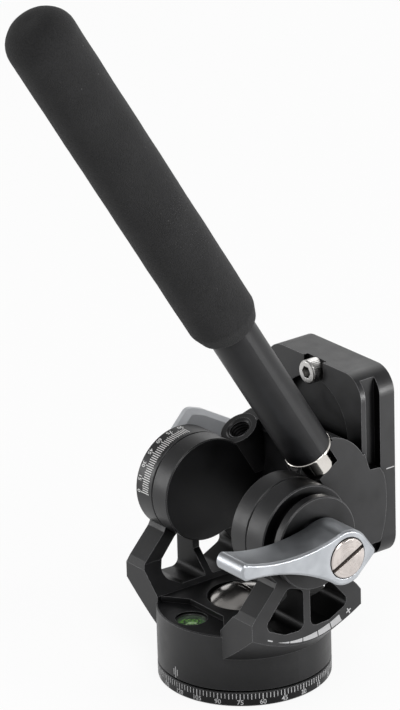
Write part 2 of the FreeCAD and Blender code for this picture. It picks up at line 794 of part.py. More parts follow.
def boss_tools(side, frame):
    """The round spot face of a handle boss, room for the tube above it, and its threaded hole."""
    hole = turned(side + "_boss_hole", frame, [
        (0, "-boss_hole_depth"), ("handle_thread_radius", "-boss_hole_depth"),
        ("handle_thread_radius", "-port_chamfer"), ("handle_thread_radius + port_chamfer + 1", 1), (0, 1),
    ])
    return [
        rod(side + "_boss_face", frame, "boss_face_radius", 0, "shoulder_radius"),
        rod(side + "_tube_room", frame, "tube_room_radius", "collar_length - tube_room", "shoulder_radius"),
        hole,
    ]


def platform_screw_holes(label):
    tools = []
    for frame in ("screw_low", "screw_high"):
        tools.append(turned("%s_%s" % (label, frame), frame, platform_screw_profile("-1")))
    return tools


def platform_screw_profile(head_start):
    return [
        (0, head_start), ("platform_screw_head_radius", head_start),
        ("platform_screw_head_radius", "platform_screw_head_height"),
        ("platform_screw_radius", "platform_screw_head_height"),
        ("platform_screw_radius", "platform_screw_length"), (0, "platform_screw_length"),
    ]


def pivot_seat(side):
    return rod(side + "_pivot_seat", side, "pivot_radius", "cradle_half - pivot_depth", "cradle_half + 1")


def make_cradle():
    """Two cheeks and the web between them."""
    near = joined("near_cheek_solid", cheek_solids("near", "near", "handle", "cheek_inner", "near_cheek_top")
                  + [arch("near_arch"), shoulder("shoulder")])
    far = joined("far_cheek_solid", cheek_solids("far", "far", "spare", "-cradle_half", "cheek_top"))
    web = slab("web_solid", "YZ_Plane", [
        ("web_front", "shoulder_low + 1"), ("platform_back", "shoulder_low"),
        ("platform_back", "web_top"), ("web_front + 4", "web_top"), ("web_front", "web_top - 4"),
    ], "-cheek_inner", "2 * cheek_inner")
    web_tools = platform_screw_holes("cradle") + [boss("near", "handle", "web_room"), boss("far", "spare", "web_room")]
    return [
        cut("near_cheek", near, boss_tools("near", "handle") + [pivot_seat("near")]),
        cut("far_cheek", far, boss_tools("far", "spare") + [pivot_seat("far")]),
        cut("cradle_web", web, web_tools),
    ]


def make_pivots():
    """Axles of the tilt, pressed into the cheeks and threaded for the lever screws."""
    pivots = []
    for side in ("near", "far"):
        bore = "lever_shank_radius + running_fit"
        pivots.append(turned(side + "_pivot", side, [
            (0, "cradle_half - pivot_depth"), ("pivot_radius", "cradle_half - pivot_depth"),
            ("pivot_radius", "pivot_end"), (bore, "pivot_end"), (bore, "lever_screw_end - 1"),
            (0, "lever_screw_end - 1"),
        ]))
    return pivots


def platform_outline():
    half, low, high = "platform_half_width", "platform_low", "platform_high"
    return [("-" + half, low), (half, low), (half, high), ("-" + half, high)]


def seat_tool():
    """Room for the camera plate: open towards the jaw, undercut on the fixed side."""
    fit = "plate_fit"
    return slab("seat_room", "XY_Plane", [
        ("-platform_half_width - 1", "seat_floor"), ("dovetail_half + " + fit, "seat_floor"),
        ("dovetail_half + " + fit, "dovetail_low"), ("dovetail_neck_half + " + fit, "dovetail_high"),
        ("dovetail_neck_half + " + fit, "platform_face + 1"),
        ("-platform_half_width - 1", "platform_face + 1"),
    ], "platform_middle - seat_half_length", "2 * seat_half_length")


def relief_tool():
    """The shallow arch milled into the back of the platform, above the cradle."""
    round_end = rod("relief_arch", "camera", "relief_radius", "platform_back - 1",
                    "platform_back + relief_depth")
    round_end.setExpression("Placement.Base.z", sized("relief_centre"))
    foot = block("relief_foot", "XZ_Plane", ("-relief_radius", "shoulder_low"),
                 ("relief_radius", "relief_centre"), "platform_back - 1", "relief_depth + 1")
    return [round_end, foot]


def stop_screw_tools():
    """Hole and notch of the stop screw, open to the end of the platform."""
    notch_depth = "stop_head_height - stop_head_proud"
    wide = "stop_head_radius + 1"
    return [
        rod("stop_hole", "stop", "stop_screw_radius", 0, "stop_screw_length"),
        rod("stop_notch", "stop", wide, -1, notch_depth),
        block("stop_notch_mouth", "XZ_Plane", ("-(%s)" % wide, "stop_screw_height"),
              (wide, "platform_high + 1"), "platform_back - 1", notch_depth + " + 1"),
    ]


def make_platform():
    plate = slab("platform_solid", "XZ_Plane", platform_outline(), "platform_back", "platform_thickness",
                 {"platform_corner": [0, 1, 2, 3]})
    tools = [seat_tool()] + relief_tool() + stop_screw_tools() + platform_screw_holes("platform")
    groove_start = "platform_half_width - groove_depth"
    for side, low, high in (("near", groove_start, "platform_half_width + 1"),
                            ("far", "-platform_half_width - 1", "-(%s)" % groove_start)):
        tools.append(block(side + "_groove", "XY_Plane", (low, "groove_near"), (high, "seat_floor"),
                           "platform_low - 1", "platform_length + 2"))
    tools += [shoulder("shoulder_pocket"), arch("arch_pocket")]
    tools.append(rod("clamp_thread", "clamp", "clamp_screw_radius + running_fit",
                     "clamp_screw_end - 1", "platform_half_width + 1"))
    for frame in ("pin_low", "pin_high"):
        tools.append(rod(frame + "_seat", frame, "guide_pin_radius + running_fit", "guide_pin_end - 1",
                         "platform_half_width + 1"))
    return cut("platform", plate, tools)


def make_jaw():
    fit = "plate_fit"
    bar = slab("jaw_bar", "XY_Plane", [
        ("-platform_half_width", "seat_floor + running_fit"), ("-dovetail_half - " + fit, "seat_floor + running_fit"),
        ("-dovetail_half - " + fit, "dovetail_low"), ("-dovetail_neck_half - " + fit, "dovetail_high"),
        ("-dovetail_neck_half - " + fit, "platform_face"), ("-platform_half_width", "platform_face"),
    ], "platform_middle - seat_half_length + " + fit, "2 * (seat_half_length - plate_fit)")
    foot = block("jaw_foot", "XY_Plane",
                 ("-platform_half_width", "groove_near + running_fit"),
                 ("-platform_half_width + groove_depth - running_fit", "seat_floor + running_fit"),
                 "platform_middle - jaw_foot_half", "2 * jaw_foot_half")
    tools = [rod("jaw_screw_hole", "clamp", "clamp_screw_radius + running_fit", "clamp_screw_end",
                 "platform_half_width + 1")]
    for frame in ("pin_low", "pin_high"):
        tools.append(rod(frame + "_hole", frame, "guide_pin_radius", "guide_pin_end - 1",
                         "platform_half_width + 1"))
    return cut("clamp_jaw", joined("jaw_solid", [bar, foot]), tools)


def make_clamp():
    neck_start = "platform_half_width + running_fit"
    knob_start = "cradle_half + free_gap"
    knob = turned("clamp_knob", "clamp", [
        (0, neck_start), ("clamp_neck_radius", neck_start), ("clamp_neck_radius", knob_start),
        ("clamp_knob_radius - 1", knob_start), ("clamp_knob_radius", knob_start + " + 1"),
        ("clamp_knob_radius", knob_start + " + clamp_knob_length - 1"),
        ("clamp_knob_radius - 1", knob_start + " + clamp_knob_length"),
        (0, knob_start + " + clamp_knob_length"),
    ])
    pins = [rod("guide_" + frame, frame, "guide_pin_radius", "guide_pin_end", "platform_half_width - edge")
            for frame in ("pin_low", "pin_high")]
    return [
        make_jaw(),
        rod("clamp_screw", "clamp", "clamp_screw_radius", "clamp_screw_end", neck_start),
        knob,
        joined("guide_pins", pins),
    ]


def make_camera_plate():
    profile = [
        ("dovetail_half", "plate_floor"), ("dovetail_half", "dovetail_low"),
        ("dovetail_neck_half", "dovetail_high"), ("dovetail_neck_half", "plate_face"),
    ]
    plate = slab("plate_solid", "XY_Plane", profile + mirrored(profile),
                 "platform_middle - plate_half_length", "2 * plate_half_length")
    head_top = "plate_floor + edge + camera_head_height"
    slot = slot_tool("plate_slot", "camera_screw_radius + running_fit", "plate_floor - 1", "plate_face + 1")
    room = slot_tool("plate_room", "camera_head_radius + edge", "plate_floor - 1", head_top + " + running_fit")
    screw = turned("camera_screw_solid", "camera", [
        (0, "plate_floor + edge"), ("camera_head_radius", "plate_floor + edge"),
        ("camera_head_radius", head_top), ("camera_shank_radius", head_top),
        ("camera_shank_radius", "plate_face + pad_height"),
        ("camera_screw_radius", "plate_face + pad_height"),
        ("camera_screw_radius", "plate_face + camera_screw_reach - edge"),
        ("camera_screw_radius - edge", "plate_face + camera_screw_reach"),
        (0, "plate_face + camera_screw_reach"),
    ])
    coin_slot = block("camera_screw_slot", "XZ_Plane", ("-screw_slot_width / 2", "platform_middle - 8"),
                      ("screw_slot_width / 2", "platform_middle + 8"), "plate_floor", "screw_slot_depth")
    pads = []
    for side, low, high in (("a", "pad_inner", "pad_outer"), ("b", "-pad_outer", "-pad_inner")):
        pads.append(block("plate_pad_" + side, "XY_Plane", (low, "plate_face"),
                          (high, "plate_face + pad_height"), "platform_middle - pad_half_length",
                          "2 * pad_half_length"))
    return [
        cut("camera_plate", plate, [slot, room]),
        joined("plate_pads", pads),
        cut("camera_screw", screw, [coin_slot]),
    ]


def slot_tool(label, radius, low, high):
    """A long hole along Z, centred on the camera screw."""
    ends = []
    for name, sign in (("low", "-"), ("high", "+")):
        end = rod("%s_%s" % (label, name), "camera", radius, low, high)
        end.setExpression("Placement.Base.z", sized("platform_middle %s screw_slot_half" % sign))
        ends.append(end)
    middle = block(label + "_middle", "XZ_Plane", ("-(%s)" % radius, "platform_middle - screw_slot_half"),
                   (radius, "platform_middle + screw_slot_half"), low, "(%s) - (%s)" % (high, low))
    return joined(label, ends + [middle])


def make_screws():
    stop = turned("stop_screw_solid", "stop", [
        (0, "-stop_head_proud"), ("stop_head_radius - edge", "-stop_head_proud"),
        ("stop_head_radius", "edge - stop_head_proud"),
        ("stop_head_radius", "stop_head_height - stop_head_proud"),
        ("stop_screw_radius", "stop_head_height - stop_head_proud"),
        ("stop_screw_radius", "stop_screw_length"), (0, "stop_screw_length"),
    ])
    socket = rod("stop_socket", "stop", "stop_head_radius / 2", "-stop_head_proud - 1", "edge")
    bolts = [turned("bolt_" + frame, frame, platform_screw_profile("edge"))
             for frame in ("screw_low", "screw_high")]
    return [cut("stop_screw", stop, [socket]), joined("platform_screws", bolts)]


# ---------------------------------------------------------------- handle
def make_handle():
    collar = turned("handle_collar", "handle", [
        ("handle_thread_radius", 0), ("collar_radius", 0), ("collar_radius", "collar_length"),
        ("collar_rim_radius", "collar_length"), ("collar_rim_radius", "tube_start"),
        ("handle_thread_radius", "tube_start"),
    ])
    bore = "tube_radius - tube_wall"
    tube = turned("handle_tube", "handle", [
        (0, "tube_start"), ("tube_radius", "tube_start"), ("tube_radius", "tube_end"), (bore, "tube_end"),
        (bore, "tube_start + tube_foot"), (0, "tube_start + tube_foot"),
    ])
    plug = turned("grip_plug", "handle", [
        (0, "tube_end - 6"), (bore, "tube_end - 6"), (bore, "tube_end"), ("tube_radius - edge", "tube_end"),
        ("tube_radius - edge", "grip_end - grip_cap"), (0, "grip_end - grip_cap"),
    ])
    return [
        rod("handle_stud", "handle", "handle_thread_radius", "2 - boss_hole_depth", "tube_start"),
        collar, tube, plug, make_grip(),
    ]


def make_grip():
    grip = turned("foam_grip", "handle", [
        ("tube_radius", "grip_start"), ("grip_radius", "grip_start"), ("grip_radius", "grip_end"),
        (0, "grip_end"), (0, "grip_end - grip_cap"), ("tube_radius", "grip_end - grip_cap"),
    ])
    round_circle(grip, "grip_radius", "grip_start", "grip_round_low")
    return round_circle(grip, "grip_radius", "grip_end", "grip_round_high")


# ---------------------------------------------------------------- levers
def closed_face(edges):
    return Part.Face(Part.Wire(edges))


def line(first, last):
    return Part.LineSegment(first, last).toShape()


def arc(first, middle, last):
    return Part.Arc(first, middle, last).toShape()


def on_circle(radius, degrees, centre=Vector(0, 0, 0)):
    angle = math.radians(degrees)
    return centre + Vector(0, radius * math.cos(angle), radius * math.sin(angle))


def drag_lever_outline():
    """Side view of the drag lever about its hub: a round hub with a corner opposite a waisted arm."""
    hub = size("lever_hub_radius")
    length = size("lever_length")
    rise = size("lever_rise")
    half_tip = size("lever_tip_height") / 2
    inset = size("lever_tip_inset")
    waist = size("lever_waist")
    top_root = on_circle(hub, 112)
    low_root = on_circle(hub, 226)
    corner_top = on_circle(hub, 42)
    corner_low = on_circle(hub, -62)
    point = Vector(0, size("lever_point"), -1.2)
    tip_top = Vector(0, inset - length, rise + half_tip)
    tip_low = Vector(0, inset - length, rise - half_tip)
    return [
        arc(corner_top, on_circle(hub, 78), top_root),
        arc(top_root, Vector(0, -waist, size("lever_waist_top")), tip_top),
        arc(tip_top, Vector(0, -length, rise), tip_low),
        arc(tip_low, Vector(0, -waist, size("lever_waist_low")), low_root),
        arc(low_root, on_circle(hub, 262), corner_low),
        line(corner_low, point),
        line(point, corner_top),
    ]


def lock_lever_outline():
    """Side view of the lock lever: a wide root that peaks above the ear and an arm towards the platform."""
    hub = size("lock_hub_radius")
    peak = Vector(0, size("lock_peak_across"), size("lock_peak_up"))
    brow = Vector(0, size("lock_brow_across"), size("lock_brow_up"))
    slope = Vector(0, size("lock_slope_across"), size("lock_slope_up"))
    tip_top = Vector(0, size("lock_tip_reach"), size("lock_tip_height"))
    tip_low = tip_top + Vector(0, -1.5, -size("lock_tip_width"))
    start = on_circle(hub, 152)
    low_root = on_circle(hub, -62)
    return [
        arc(start, on_circle(hub, 225), low_root),
        arc(low_root, (low_root + tip_low) * 0.5 + Vector(0, 0.8, 1.6), tip_low),
        line(tip_low, tip_top), line(tip_top, slope), line(slope, brow), line(brow, peak), line(peak, start),
    ]


def lever_solid(label, edges, low, high, corner, rims):
    """An outline about the tilt axis, given thickness along X, with eased corners and rims.

    rims holds the chamfer of the face at low X, then that of the face at high X.
    """
    thickness = size(high) - size(low)
    solid = closed_face(edges).extrude(Vector(thickness, 0, 0))
    solid = solid.makeFillet(size(corner), cross_edges(solid))
    for rim, across in zip(rims, (0, thickness)):
        solid = solid.makeChamfer(size(rim), rim_edges(solid, across))
    feature = doc.addObject("Part::Feature", label)
    feature.Shape = solid
    return feature


def cross_edges(solid):
    """The edges of a solid that run along X from one face to the other."""
    return [edge for edge in solid.Edges
            if len(edge.Vertexes) == 2 and abs(edge.Vertexes[0].X - edge.Vertexes[1].X) > 1e-6]


def rim_edges(solid, across):
    """The edges of a solid that lie in the plane X = across."""
    return [edge for edge in solid.Edges if all(abs(v.X - across) < 1e-6 for v in edge.Vertexes)]


def slotted_screw(label, frame, head_radius, seat, face, deep, slot_angle):
    """A large screw with a coin slot across its head."""
    body = turned(label + "_solid", frame, [
        (0, deep), ("lever_shank_radius", deep), ("lever_shank_radius", seat), (head_radius, seat),
        (head_radius, face + " - edge"), ("%s - edge" % head_radius, face), (0, face),
    ])
    slot = block(label + "_slot", "XY_Plane", ("-screw_slot_width / 2", "-(%s) - 1" % head_radius),
                 ("screw_slot_width / 2", head_radius + " + 1"), face + " - screw_slot_depth", "3")
    tilt = Rotation(TURN_Y, 90 if frame == "near" else -90)
    slot.Placement = Placement(Vector(0, 0, 0), tilt.multiply(Rotation(TURN_Z, slot_angle)))
    slot.setExpression("Placement.Base.z", sized("tilt_height"))
    return cut(label, body, [slot])


def lever_bore(label, frame, head_room, seat):
    return turned(label, frame, [
        (0, "cradle_half"), ("lever_shank_radius", "cradle_half"), ("lever_shank_radius", seat),
        (head_room, seat), (head_room, "drag_screw_face + 5"), (0, "drag_screw_face + 5"),
    ])


def make_drag():
    """Drag cap, lever and its screw, which turn together to squeeze the friction disc."""
    cap = turned("drag_cap_solid", "near", [
        (0, "pivot_end + edge"), ("drag_cap_neck", "pivot_end + edge"), ("drag_cap_neck", "drag_cap_start"),
        ("drag_cap_radius - edge", "drag_cap_start"), ("drag_cap_radius", "drag_cap_start + edge"),
        ("drag_cap_radius", "drag_cap_end - edge"), ("drag_cap_radius - edge", "drag_cap_end"),
        (0, "drag_cap_end"),
    ])
    head_room = "drag_screw_radius + drag_screw_ring"
    arm = lever_solid("drag_lever_arm", drag_lever_outline(), "drag_lever_start", "drag_lever_face",
                      "lever_corner", ("lever_edge", "lever_edge"))
    arm.setExpression("Placement.Base.x", sized("drag_lever_start"))
    arm.setExpression("Placement.Base.z", sized("tilt_height"))
    hub = rod("drag_lever_hub", "near", "lever_hub_radius - 1.2", "drag_cap_end", "drag_lever_start + 1")
    lever = joined("drag_lever_solid", [arm, hub])
    return [
        cut("drag_cap", cap, [rod("drag_cap_bore", "near", "lever_shank_radius", "pivot_end", "drag_cap_end + 1")]),
        cut("drag_lever", lever, [lever_bore("drag_lever_bore", "near", head_room, "drag_screw_seat")]),
        slotted_screw("drag_lever_screw", "near", "drag_screw_radius", "drag_screw_seat",
                      "drag_screw_face", "lever_screw_end", 25),
    ]


def make_lock():
    """Cap, flat lever and screw of the tilt lock on the far ear."""
    cap = rod("lock_cap_solid", "far", "drag_cap_neck", "pivot_end + edge", "lock_cap_end")
    arm = lever_solid("lock_lever_arm", lock_lever_outline(), "lock_lever_start", "lock_lever_face",
                      "lock_corner", ("lever_edge", "lock_inner_edge"))
    arm.setExpression("Placement.Base.x", sized("-lock_lever_face"))
    arm.setExpression("Placement.Base.z", sized("tilt_height"))
    hub = rod("lock_lever_hub", "far", "lock_hub_radius - lock_inner_edge - edge", "lock_cap_end",
              "lock_lever_start + 1")
    lever = joined("lock_lever_solid", [arm, hub])
    head_room = "lock_screw_head + drag_screw_ring"
    return [
        cut("lock_cap", cap, [rod("lock_cap_bore", "far", "lever_shank_radius", "pivot_end", "lock_cap_end + 1")]),
        cut("lock_lever", lever, [lever_bore("lock_lever_bore", "far", head_room, "lock_screw_seat")]),
        slotted_screw("lock_lever_screw", "far", "lock_screw_head", "lock_screw_seat",
                      "lock_screw_face", "lever_screw_end", 20),
    ]


# ---------------------------------------------------------------- build, check and write
def check(nodes):
    for item in doc.Objects:
        if "Invalid" in item.State or "Error" in item.State:
            raise RuntimeError("%s failed to build: %s" % (item.Label, item.State))
    for node in nodes:
        shape = node.Shape
        if shape.isNull() or not shape.isValid() or not shape.Solids:
            raise RuntimeError("%s has no valid solid" % node.Label)


def write(nodes):
    os.makedirs("parts", exist_ok=True)
    for node in nodes:
        node.Shape.exportStep("parts/%s.step" % node.Label)
        print("%-20s solids %d  volume %.1f" % (node.Label, len(node.Shape.Solids), node.Shape.Volume))


fill_sheet()
nodes = make_base()
nodes += [make_yoke(), make_centre_cap()] + make_level() + make_pan_lock()
nodes += make_ear_fittings("near") + make_ear_fittings("far")
nodes += make_cradle() + make_pivots() + [make_platform()] + make_screws()
nodes += make_clamp() + make_camera_plate() + make_handle() + make_drag() + make_lock()
doc.recompute()
check(nodes)
write(nodes)
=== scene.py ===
import json
import math

import bmesh
import bpy
from mathutils import Matrix, Vector, noise


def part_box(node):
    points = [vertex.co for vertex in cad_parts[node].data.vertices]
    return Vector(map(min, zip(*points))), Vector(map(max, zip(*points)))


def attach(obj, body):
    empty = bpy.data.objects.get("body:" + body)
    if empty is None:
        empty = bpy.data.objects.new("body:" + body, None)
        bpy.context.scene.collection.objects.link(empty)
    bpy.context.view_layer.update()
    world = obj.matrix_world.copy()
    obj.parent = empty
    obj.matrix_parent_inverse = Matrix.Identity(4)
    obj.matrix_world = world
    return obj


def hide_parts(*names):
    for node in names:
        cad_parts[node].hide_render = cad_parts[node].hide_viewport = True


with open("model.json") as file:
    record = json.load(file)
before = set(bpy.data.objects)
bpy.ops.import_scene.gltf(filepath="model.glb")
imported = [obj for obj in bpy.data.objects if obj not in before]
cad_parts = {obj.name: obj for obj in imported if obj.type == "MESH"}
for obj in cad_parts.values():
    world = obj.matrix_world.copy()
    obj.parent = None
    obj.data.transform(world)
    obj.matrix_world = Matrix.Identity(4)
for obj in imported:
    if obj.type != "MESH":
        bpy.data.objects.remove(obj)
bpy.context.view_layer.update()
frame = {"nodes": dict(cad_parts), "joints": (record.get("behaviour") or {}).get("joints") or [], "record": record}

# Looks of a pan and tilt head with a side handle. Lengths are in metres, in the frame of the CAD.
MM = 0.001
NODES = frame["nodes"]
RECORD = frame["record"]
JOINTS = {joint["name"]: joint for joint in frame["joints"]}
MOUNTS = {mount["name"]: mount for mount in RECORD["mounts"]}


# ---------- places read from the frame
def place_of(x, y, z, origin):
    """The frame with these three axes and this origin."""
    return Matrix((
        (x.x, y.x, z.x, origin[0]), (x.y, y.y, z.y, origin[1]), (x.z, y.z, z.z, origin[2]), (0, 0, 0, 1),
    ))


def axis_place(origin, forward, across):
    """A frame whose Z runs along forward and whose X is as near to across as it can be."""
    z = Vector(forward).normalized()
    y = z.cross(Vector(across)).normalized()
    return place_of(y.cross(z), y, z, origin)


def reach_in(node, place):
    """Lowest height, highest height and largest radius of a CAD node about the Z axis of a frame."""
    inverse = place.inverted()
    points = [inverse @ vertex.co for vertex in NODES[node].data.vertices]
    heights = [point.z for point in points]
    return min(heights), max(heights), max(math.hypot(point.x, point.y) for point in points)


PORT = MOUNTS["spare_handle_port"]
HANDLE_AXIS = Vector(PORT["axis"])
PORT_DEPTH = 6.0 * MM
FAR_BOSS = Vector(PORT["pos_m"]) + HANDLE_AXIS * PORT_DEPTH
NEAR_BOSS = Vector((-FAR_BOSS.x, FAR_BOSS.y, FAR_BOSS.z))
TILT_CENTRE = Vector(JOINTS["tilt"]["pos_m"])
LOCK_AXIS = Vector(JOINTS["pan_lock"]["axis"])

PAN = Matrix.Identity(4)
TILT = axis_place(TILT_CENTRE, (1, 0, 0), (0, 1, 0))
HANDLE = axis_place(NEAR_BOSS, HANDLE_AXIS, (1, 0, 0))
SPARE_PORT = axis_place(FAR_BOSS, HANDLE_AXIS, (1, 0, 0))
PAN_LOCK = axis_place(JOINTS["pan_lock"]["pos_m"], LOCK_AXIS, (0, 0, 1))
CLAMP = axis_place(JOINTS["jaw_knob"]["pos_m"], (-1, 0, 0), (0, 0, 1))
CAMERA_SCREW = axis_place(JOINTS["camera_screw"]["pos_m"], (0, 1, 0), (1, 0, 0))


# ---------- shader effects
def effect(name, inputs, outputs):
    """An empty shader group; inputs are (name, kind, start value) and outputs are (name, kind)."""
    group = bpy.data.node_groups.new(name, "ShaderNodeTree")
    for label, kind, value in inputs:
        socket = group.interface.new_socket(name=label, in_out="INPUT", socket_type="NodeSocket" + kind)
        if value is not None:
            socket.default_value = value
    for label, kind in outputs:
        group.interface.new_socket(name=label, in_out="OUTPUT", socket_type="NodeSocket" + kind)
    return group, group.nodes.new("NodeGroupInput"), group.nodes.new("NodeGroupOutput")


def add(tree, kind, values=None, **settings):
    """A shader node with its settings and unlinked input values; a linked input is given as a socket."""
    node = tree.nodes.new("ShaderNode" + kind)
    for label, value in settings.items():
        setattr(node, label, value)
    for label, value in (values or {}).items():
        if isinstance(value, bpy.types.NodeSocket):
            tree.links.new(value, node.inputs[label])
        else:
            node.inputs[label].default_value = value
    return node


def arithmetic(tree, operation, first, second=0.0, clamp=False):
    """Two values joined by one operation of the Math node."""
    return add(tree, "Math", {0: first, 1: second}, operation=operation, use_clamp=clamp).outputs[0]


def times(tree, first, second, clamp=False):
    """The product of two values."""
    return arithmetic(tree, "MULTIPLY", first, second, clamp)


def spread(tree, value, low, high, new_low=0.0, new_high=1.0):
    """The value stretched from one range to another, held inside the new range."""
    node = add(tree, "MapRange", {
        "Value": value, "From Min": low, "From Max": high, "To Min": new_low, "To Max": new_high,
    })
    return node.outputs["Result"]


NOISE_LOW, NOISE_HIGH = 0.3, 0.7


def spread_noise(tree, value, new_low=0.0, new_high=1.0):
    """A noise value stretched from the range that it mostly fills."""
    return spread(tree, value, NOISE_LOW, NOISE_HIGH, new_low, new_high)


def speckle(tree, place, scale, detail=2.0, roughness=0.5):
    """A noise value at a place; scale is how many waves go in a unit of length."""
    values = {"Vector": place, "Scale": scale, "Detail": detail, "Roughness": roughness}
    return add(tree, "TexNoise", values).outputs["Fac"]


def cells(tree, place, scale):
    """Distance to the middle of the nearest cell, with scale cells in a unit of length."""
    return add(tree, "TexVoronoi", {"Vector": place, "Scale": scale}).outputs["Distance"]


def make_edge_light():
    """Where an edge is rounded: 0 on a face, 1 along a corner, with the rounded normal; the metals use the mask
    for a painted highlight.
    """
    group, start, end = effect("edge_light", [("Radius", "Float", 0.3 * MM), ("Gain", "Float", 6.0)],
                               [("Mask", "Float"), ("Normal", "Vector")])
    rounded = add(group, "Bevel", {"Radius": start.outputs["Radius"]}, samples=6)
    plain = add(group, "NewGeometry").outputs["Normal"]
    match = add(group, "VectorMath", {0: rounded.outputs["Normal"], 1: plain}, operation="DOT_PRODUCT")
    bend = arithmetic(group, "SUBTRACT", 1.0, match.outputs["Value"])
    mask = times(group, bend, start.outputs["Gain"], clamp=True)
    group.links.new(mask, end.inputs["Mask"])
    group.links.new(rounded.outputs["Normal"], end.inputs["Normal"])
    return group


AROUND_SCALE = 0.8


def make_tool_lines():
    """Fine lines left by turning about an axis through Centre: thin across, long around."""
    group, start, end = effect("tool_lines", [
        ("Position", "Vector", None), ("Centre", "Vector", None), ("Axis", "Vector", (0.0, 0.0, 1.0)),
        ("Pitch", "Float", 0.25 * MM),
    ], [("Lines", "Float")])
    offset = add(group, "VectorMath", {0: start.outputs["Position"], 1: start.outputs["Centre"]},
                 operation="SUBTRACT").outputs["Vector"]
    height = add(group, "VectorMath", {0: offset, 1: start.outputs["Axis"]}, operation="DOT_PRODUCT")
    cross = add(group, "VectorMath", {0: offset, 1: start.outputs["Axis"]}, operation="CROSS_PRODUCT")
    radius = add(group, "VectorMath", {0: cross.outputs["Vector"]}, operation="LENGTH").outputs["Value"]
    direction = add(group, "VectorMath", {0: cross.outputs["Vector"]}, operation="NORMALIZE")
    rate = arithmetic(group, "DIVIDE", 1.0, start.outputs["Pitch"])
    steps = add(group, "CombineXYZ", {
        "X": times(group, radius, rate), "Y": times(group, height.outputs["Value"], rate), "Z": 0.0,
    }).outputs["Vector"]
    turned = add(group, "VectorMath", {0: direction.outputs["Vector"], "Scale": AROUND_SCALE},
                 operation="SCALE").outputs["Vector"]
    place = add(group, "VectorMath", {0: steps, 1: turned}, operation="ADD").outputs["Vector"]
    lines = speckle(group, place, scale=1.0, detail=3.0, roughness=0.6)
    group.links.new(lines, end.inputs["Lines"])
    return group


def make_blotches():
    """Slow, faint changes of tone with a finer grain over them."""
    group, start, end = effect("blotches", [
        ("Position", "Vector", None), ("Size", "Float", 6.0 * MM), ("Grain", "Float", 0.2 * MM),
    ], [("Tone", "Float"), ("Grain", "Float")])
    for label, size, detail in (("Tone", "Size", 4.0), ("Grain", "Grain", 2.0)):
        scale = arithmetic(group, "DIVIDE", 1.0, start.outputs[size])
        group.links.new(speckle(group, start.outputs["Position"], scale, detail), end.inputs[label])
    return group


# A rim is the span of a pattern over which its mask goes from one end to the other.
SPECKS_PER_METRE = 900.0
SPECK_RIM = (0.05, 0.16)
DUST_PATCHES_PER_METRE = 90.0
DUST_PATCH_RIM = (0.5, 0.75)
UPWARD = (0.2, 0.9)


def make_dust():
    """Sparse pale specks that lie on faces turned upwards."""
    group, start, end = effect("dust", [("Position", "Vector", None), ("Amount", "Float", 0.3)],
                               [("Mask", "Float")])
    position = start.outputs["Position"]
    up = add(group, "SeparateXYZ", {"Vector": add(group, "NewGeometry").outputs["Normal"]}).outputs["Z"]
    points = spread(group, cells(group, position, SPECKS_PER_METRE), *SPECK_RIM, 1.0, 0.0)
    patches = spread(group, speckle(group, position, DUST_PATCHES_PER_METRE), *DUST_PATCH_RIM)
    settled = times(group, spread(group, up, *UPWARD), patches)
    mask = times(group, points, settled)
    group.links.new(times(group, mask, start.outputs["Amount"]), end.inputs["Mask"])
    return group


OPEN_LIGHT, CLOSED_LIGHT = 0.95, 0.35


def make_crevice():
    """How closed in a spot is: 0 in the open, towards 1 at the bottom of a slot."""
    group, start, end = effect("crevice", [("Reach", "Float", 1.5 * MM)], [("Mask", "Float")])
    light = add(group, "AmbientOcclusion", {"Distance": start.outputs["Reach"]}, samples=8).outputs["AO"]
    group.links.new(spread(group, light, CLOSED_LIGHT, OPEN_LIGHT, 1.0, 0.0), end.inputs["Mask"])
    return group


EDGE_LIGHT = make_edge_light()
TOOL_LINES = make_tool_lines()
BLOTCHES = make_blotches()
DUST = make_dust()
CREVICE = make_crevice()


# ---------- materials
def place_effect(tree, group, values):
    """One of the shader effects, placed in a material with its own values."""
    return add(tree, "Group", values, node_tree=group)


def blend_colour(tree, factor, first, second):
    """A colour between two; each is a socket or three plain numbers."""
    node = add(tree, "Mix", {"Factor": factor}, data_type="RGBA")
    for number, value in ((6, first), (7, second)):
        if isinstance(value, bpy.types.NodeSocket):
            tree.links.new(value, node.inputs[number])
        else:
            node.inputs[number].default_value = (*value, 1.0)
    return node.outputs[2]


def start_material(name, **plain):
    """A material with its Principled shader and the object position that its effects read."""
    material = bpy.data.materials.new(name)
    material.use_nodes = True
    tree = material.node_tree
    shader = tree.nodes["Principled BSDF"]
    for label, value in plain.items():
        shader.inputs[label.replace("_", " ")].default_value = value
    position = add(tree, "TexCoord").outputs["Object"]
    return material, tree, shader, position


def blotched(tree, position, size=6.0 * MM, grain=0.2 * MM):
    """The slow tone and the fine grain of a surface."""
    spots = place_effect(tree, BLOTCHES, {"Position": position, "Size": size, "Grain": grain})
    return spots.outputs["Tone"], spots.outputs["Grain"]


def coloured(tree, shader, tone, rough):
    """Give a shader its colour and its roughness."""
    tree.links.new(tone, shader.inputs["Base Color"])
    tree.links.new(rough, shader.inputs["Roughness"])


def bumped(tree, shader, height, distance, strength, normal=None):
    """Give a shader the relief of a height value, over a rounded normal if there is one."""
    values = {"Height": height, "Distance": distance, "Strength": strength}
    if normal is not None:
        values["Normal"] = normal
    tree.links.new(add(tree, "Bump", values).outputs["Normal"], shader.inputs["Normal"])


# Painted highlight: how strongly edges are lit up in colour, broken up by grain and held back in hollows.
EDGE_HIGHLIGHT_GAIN = 5.0
# Each has the span of the value that is read and the span of the share that it gives.
EDGE_HIGHLIGHT_GRAIN = (0.3, 0.6, 0.55, 1.0)
EDGE_HIGHLIGHT_IN_HOLLOWS = (0.3, 0.8, 1.0, 0.0)
DUST_COLOUR = (0.42, 0.41, 0.4)
# Painted shade: how dark slots, seams and hollows are painted, and how much of the shade of wide hollows goes into
# the Metallic.
CREVICE_SHADE_TONE = 0.06
HOLLOW_SHADE_SHARE = 0.8
STREAK_GLOSS = 0.3
GRAIN_HEIGHT = 0.02 * MM


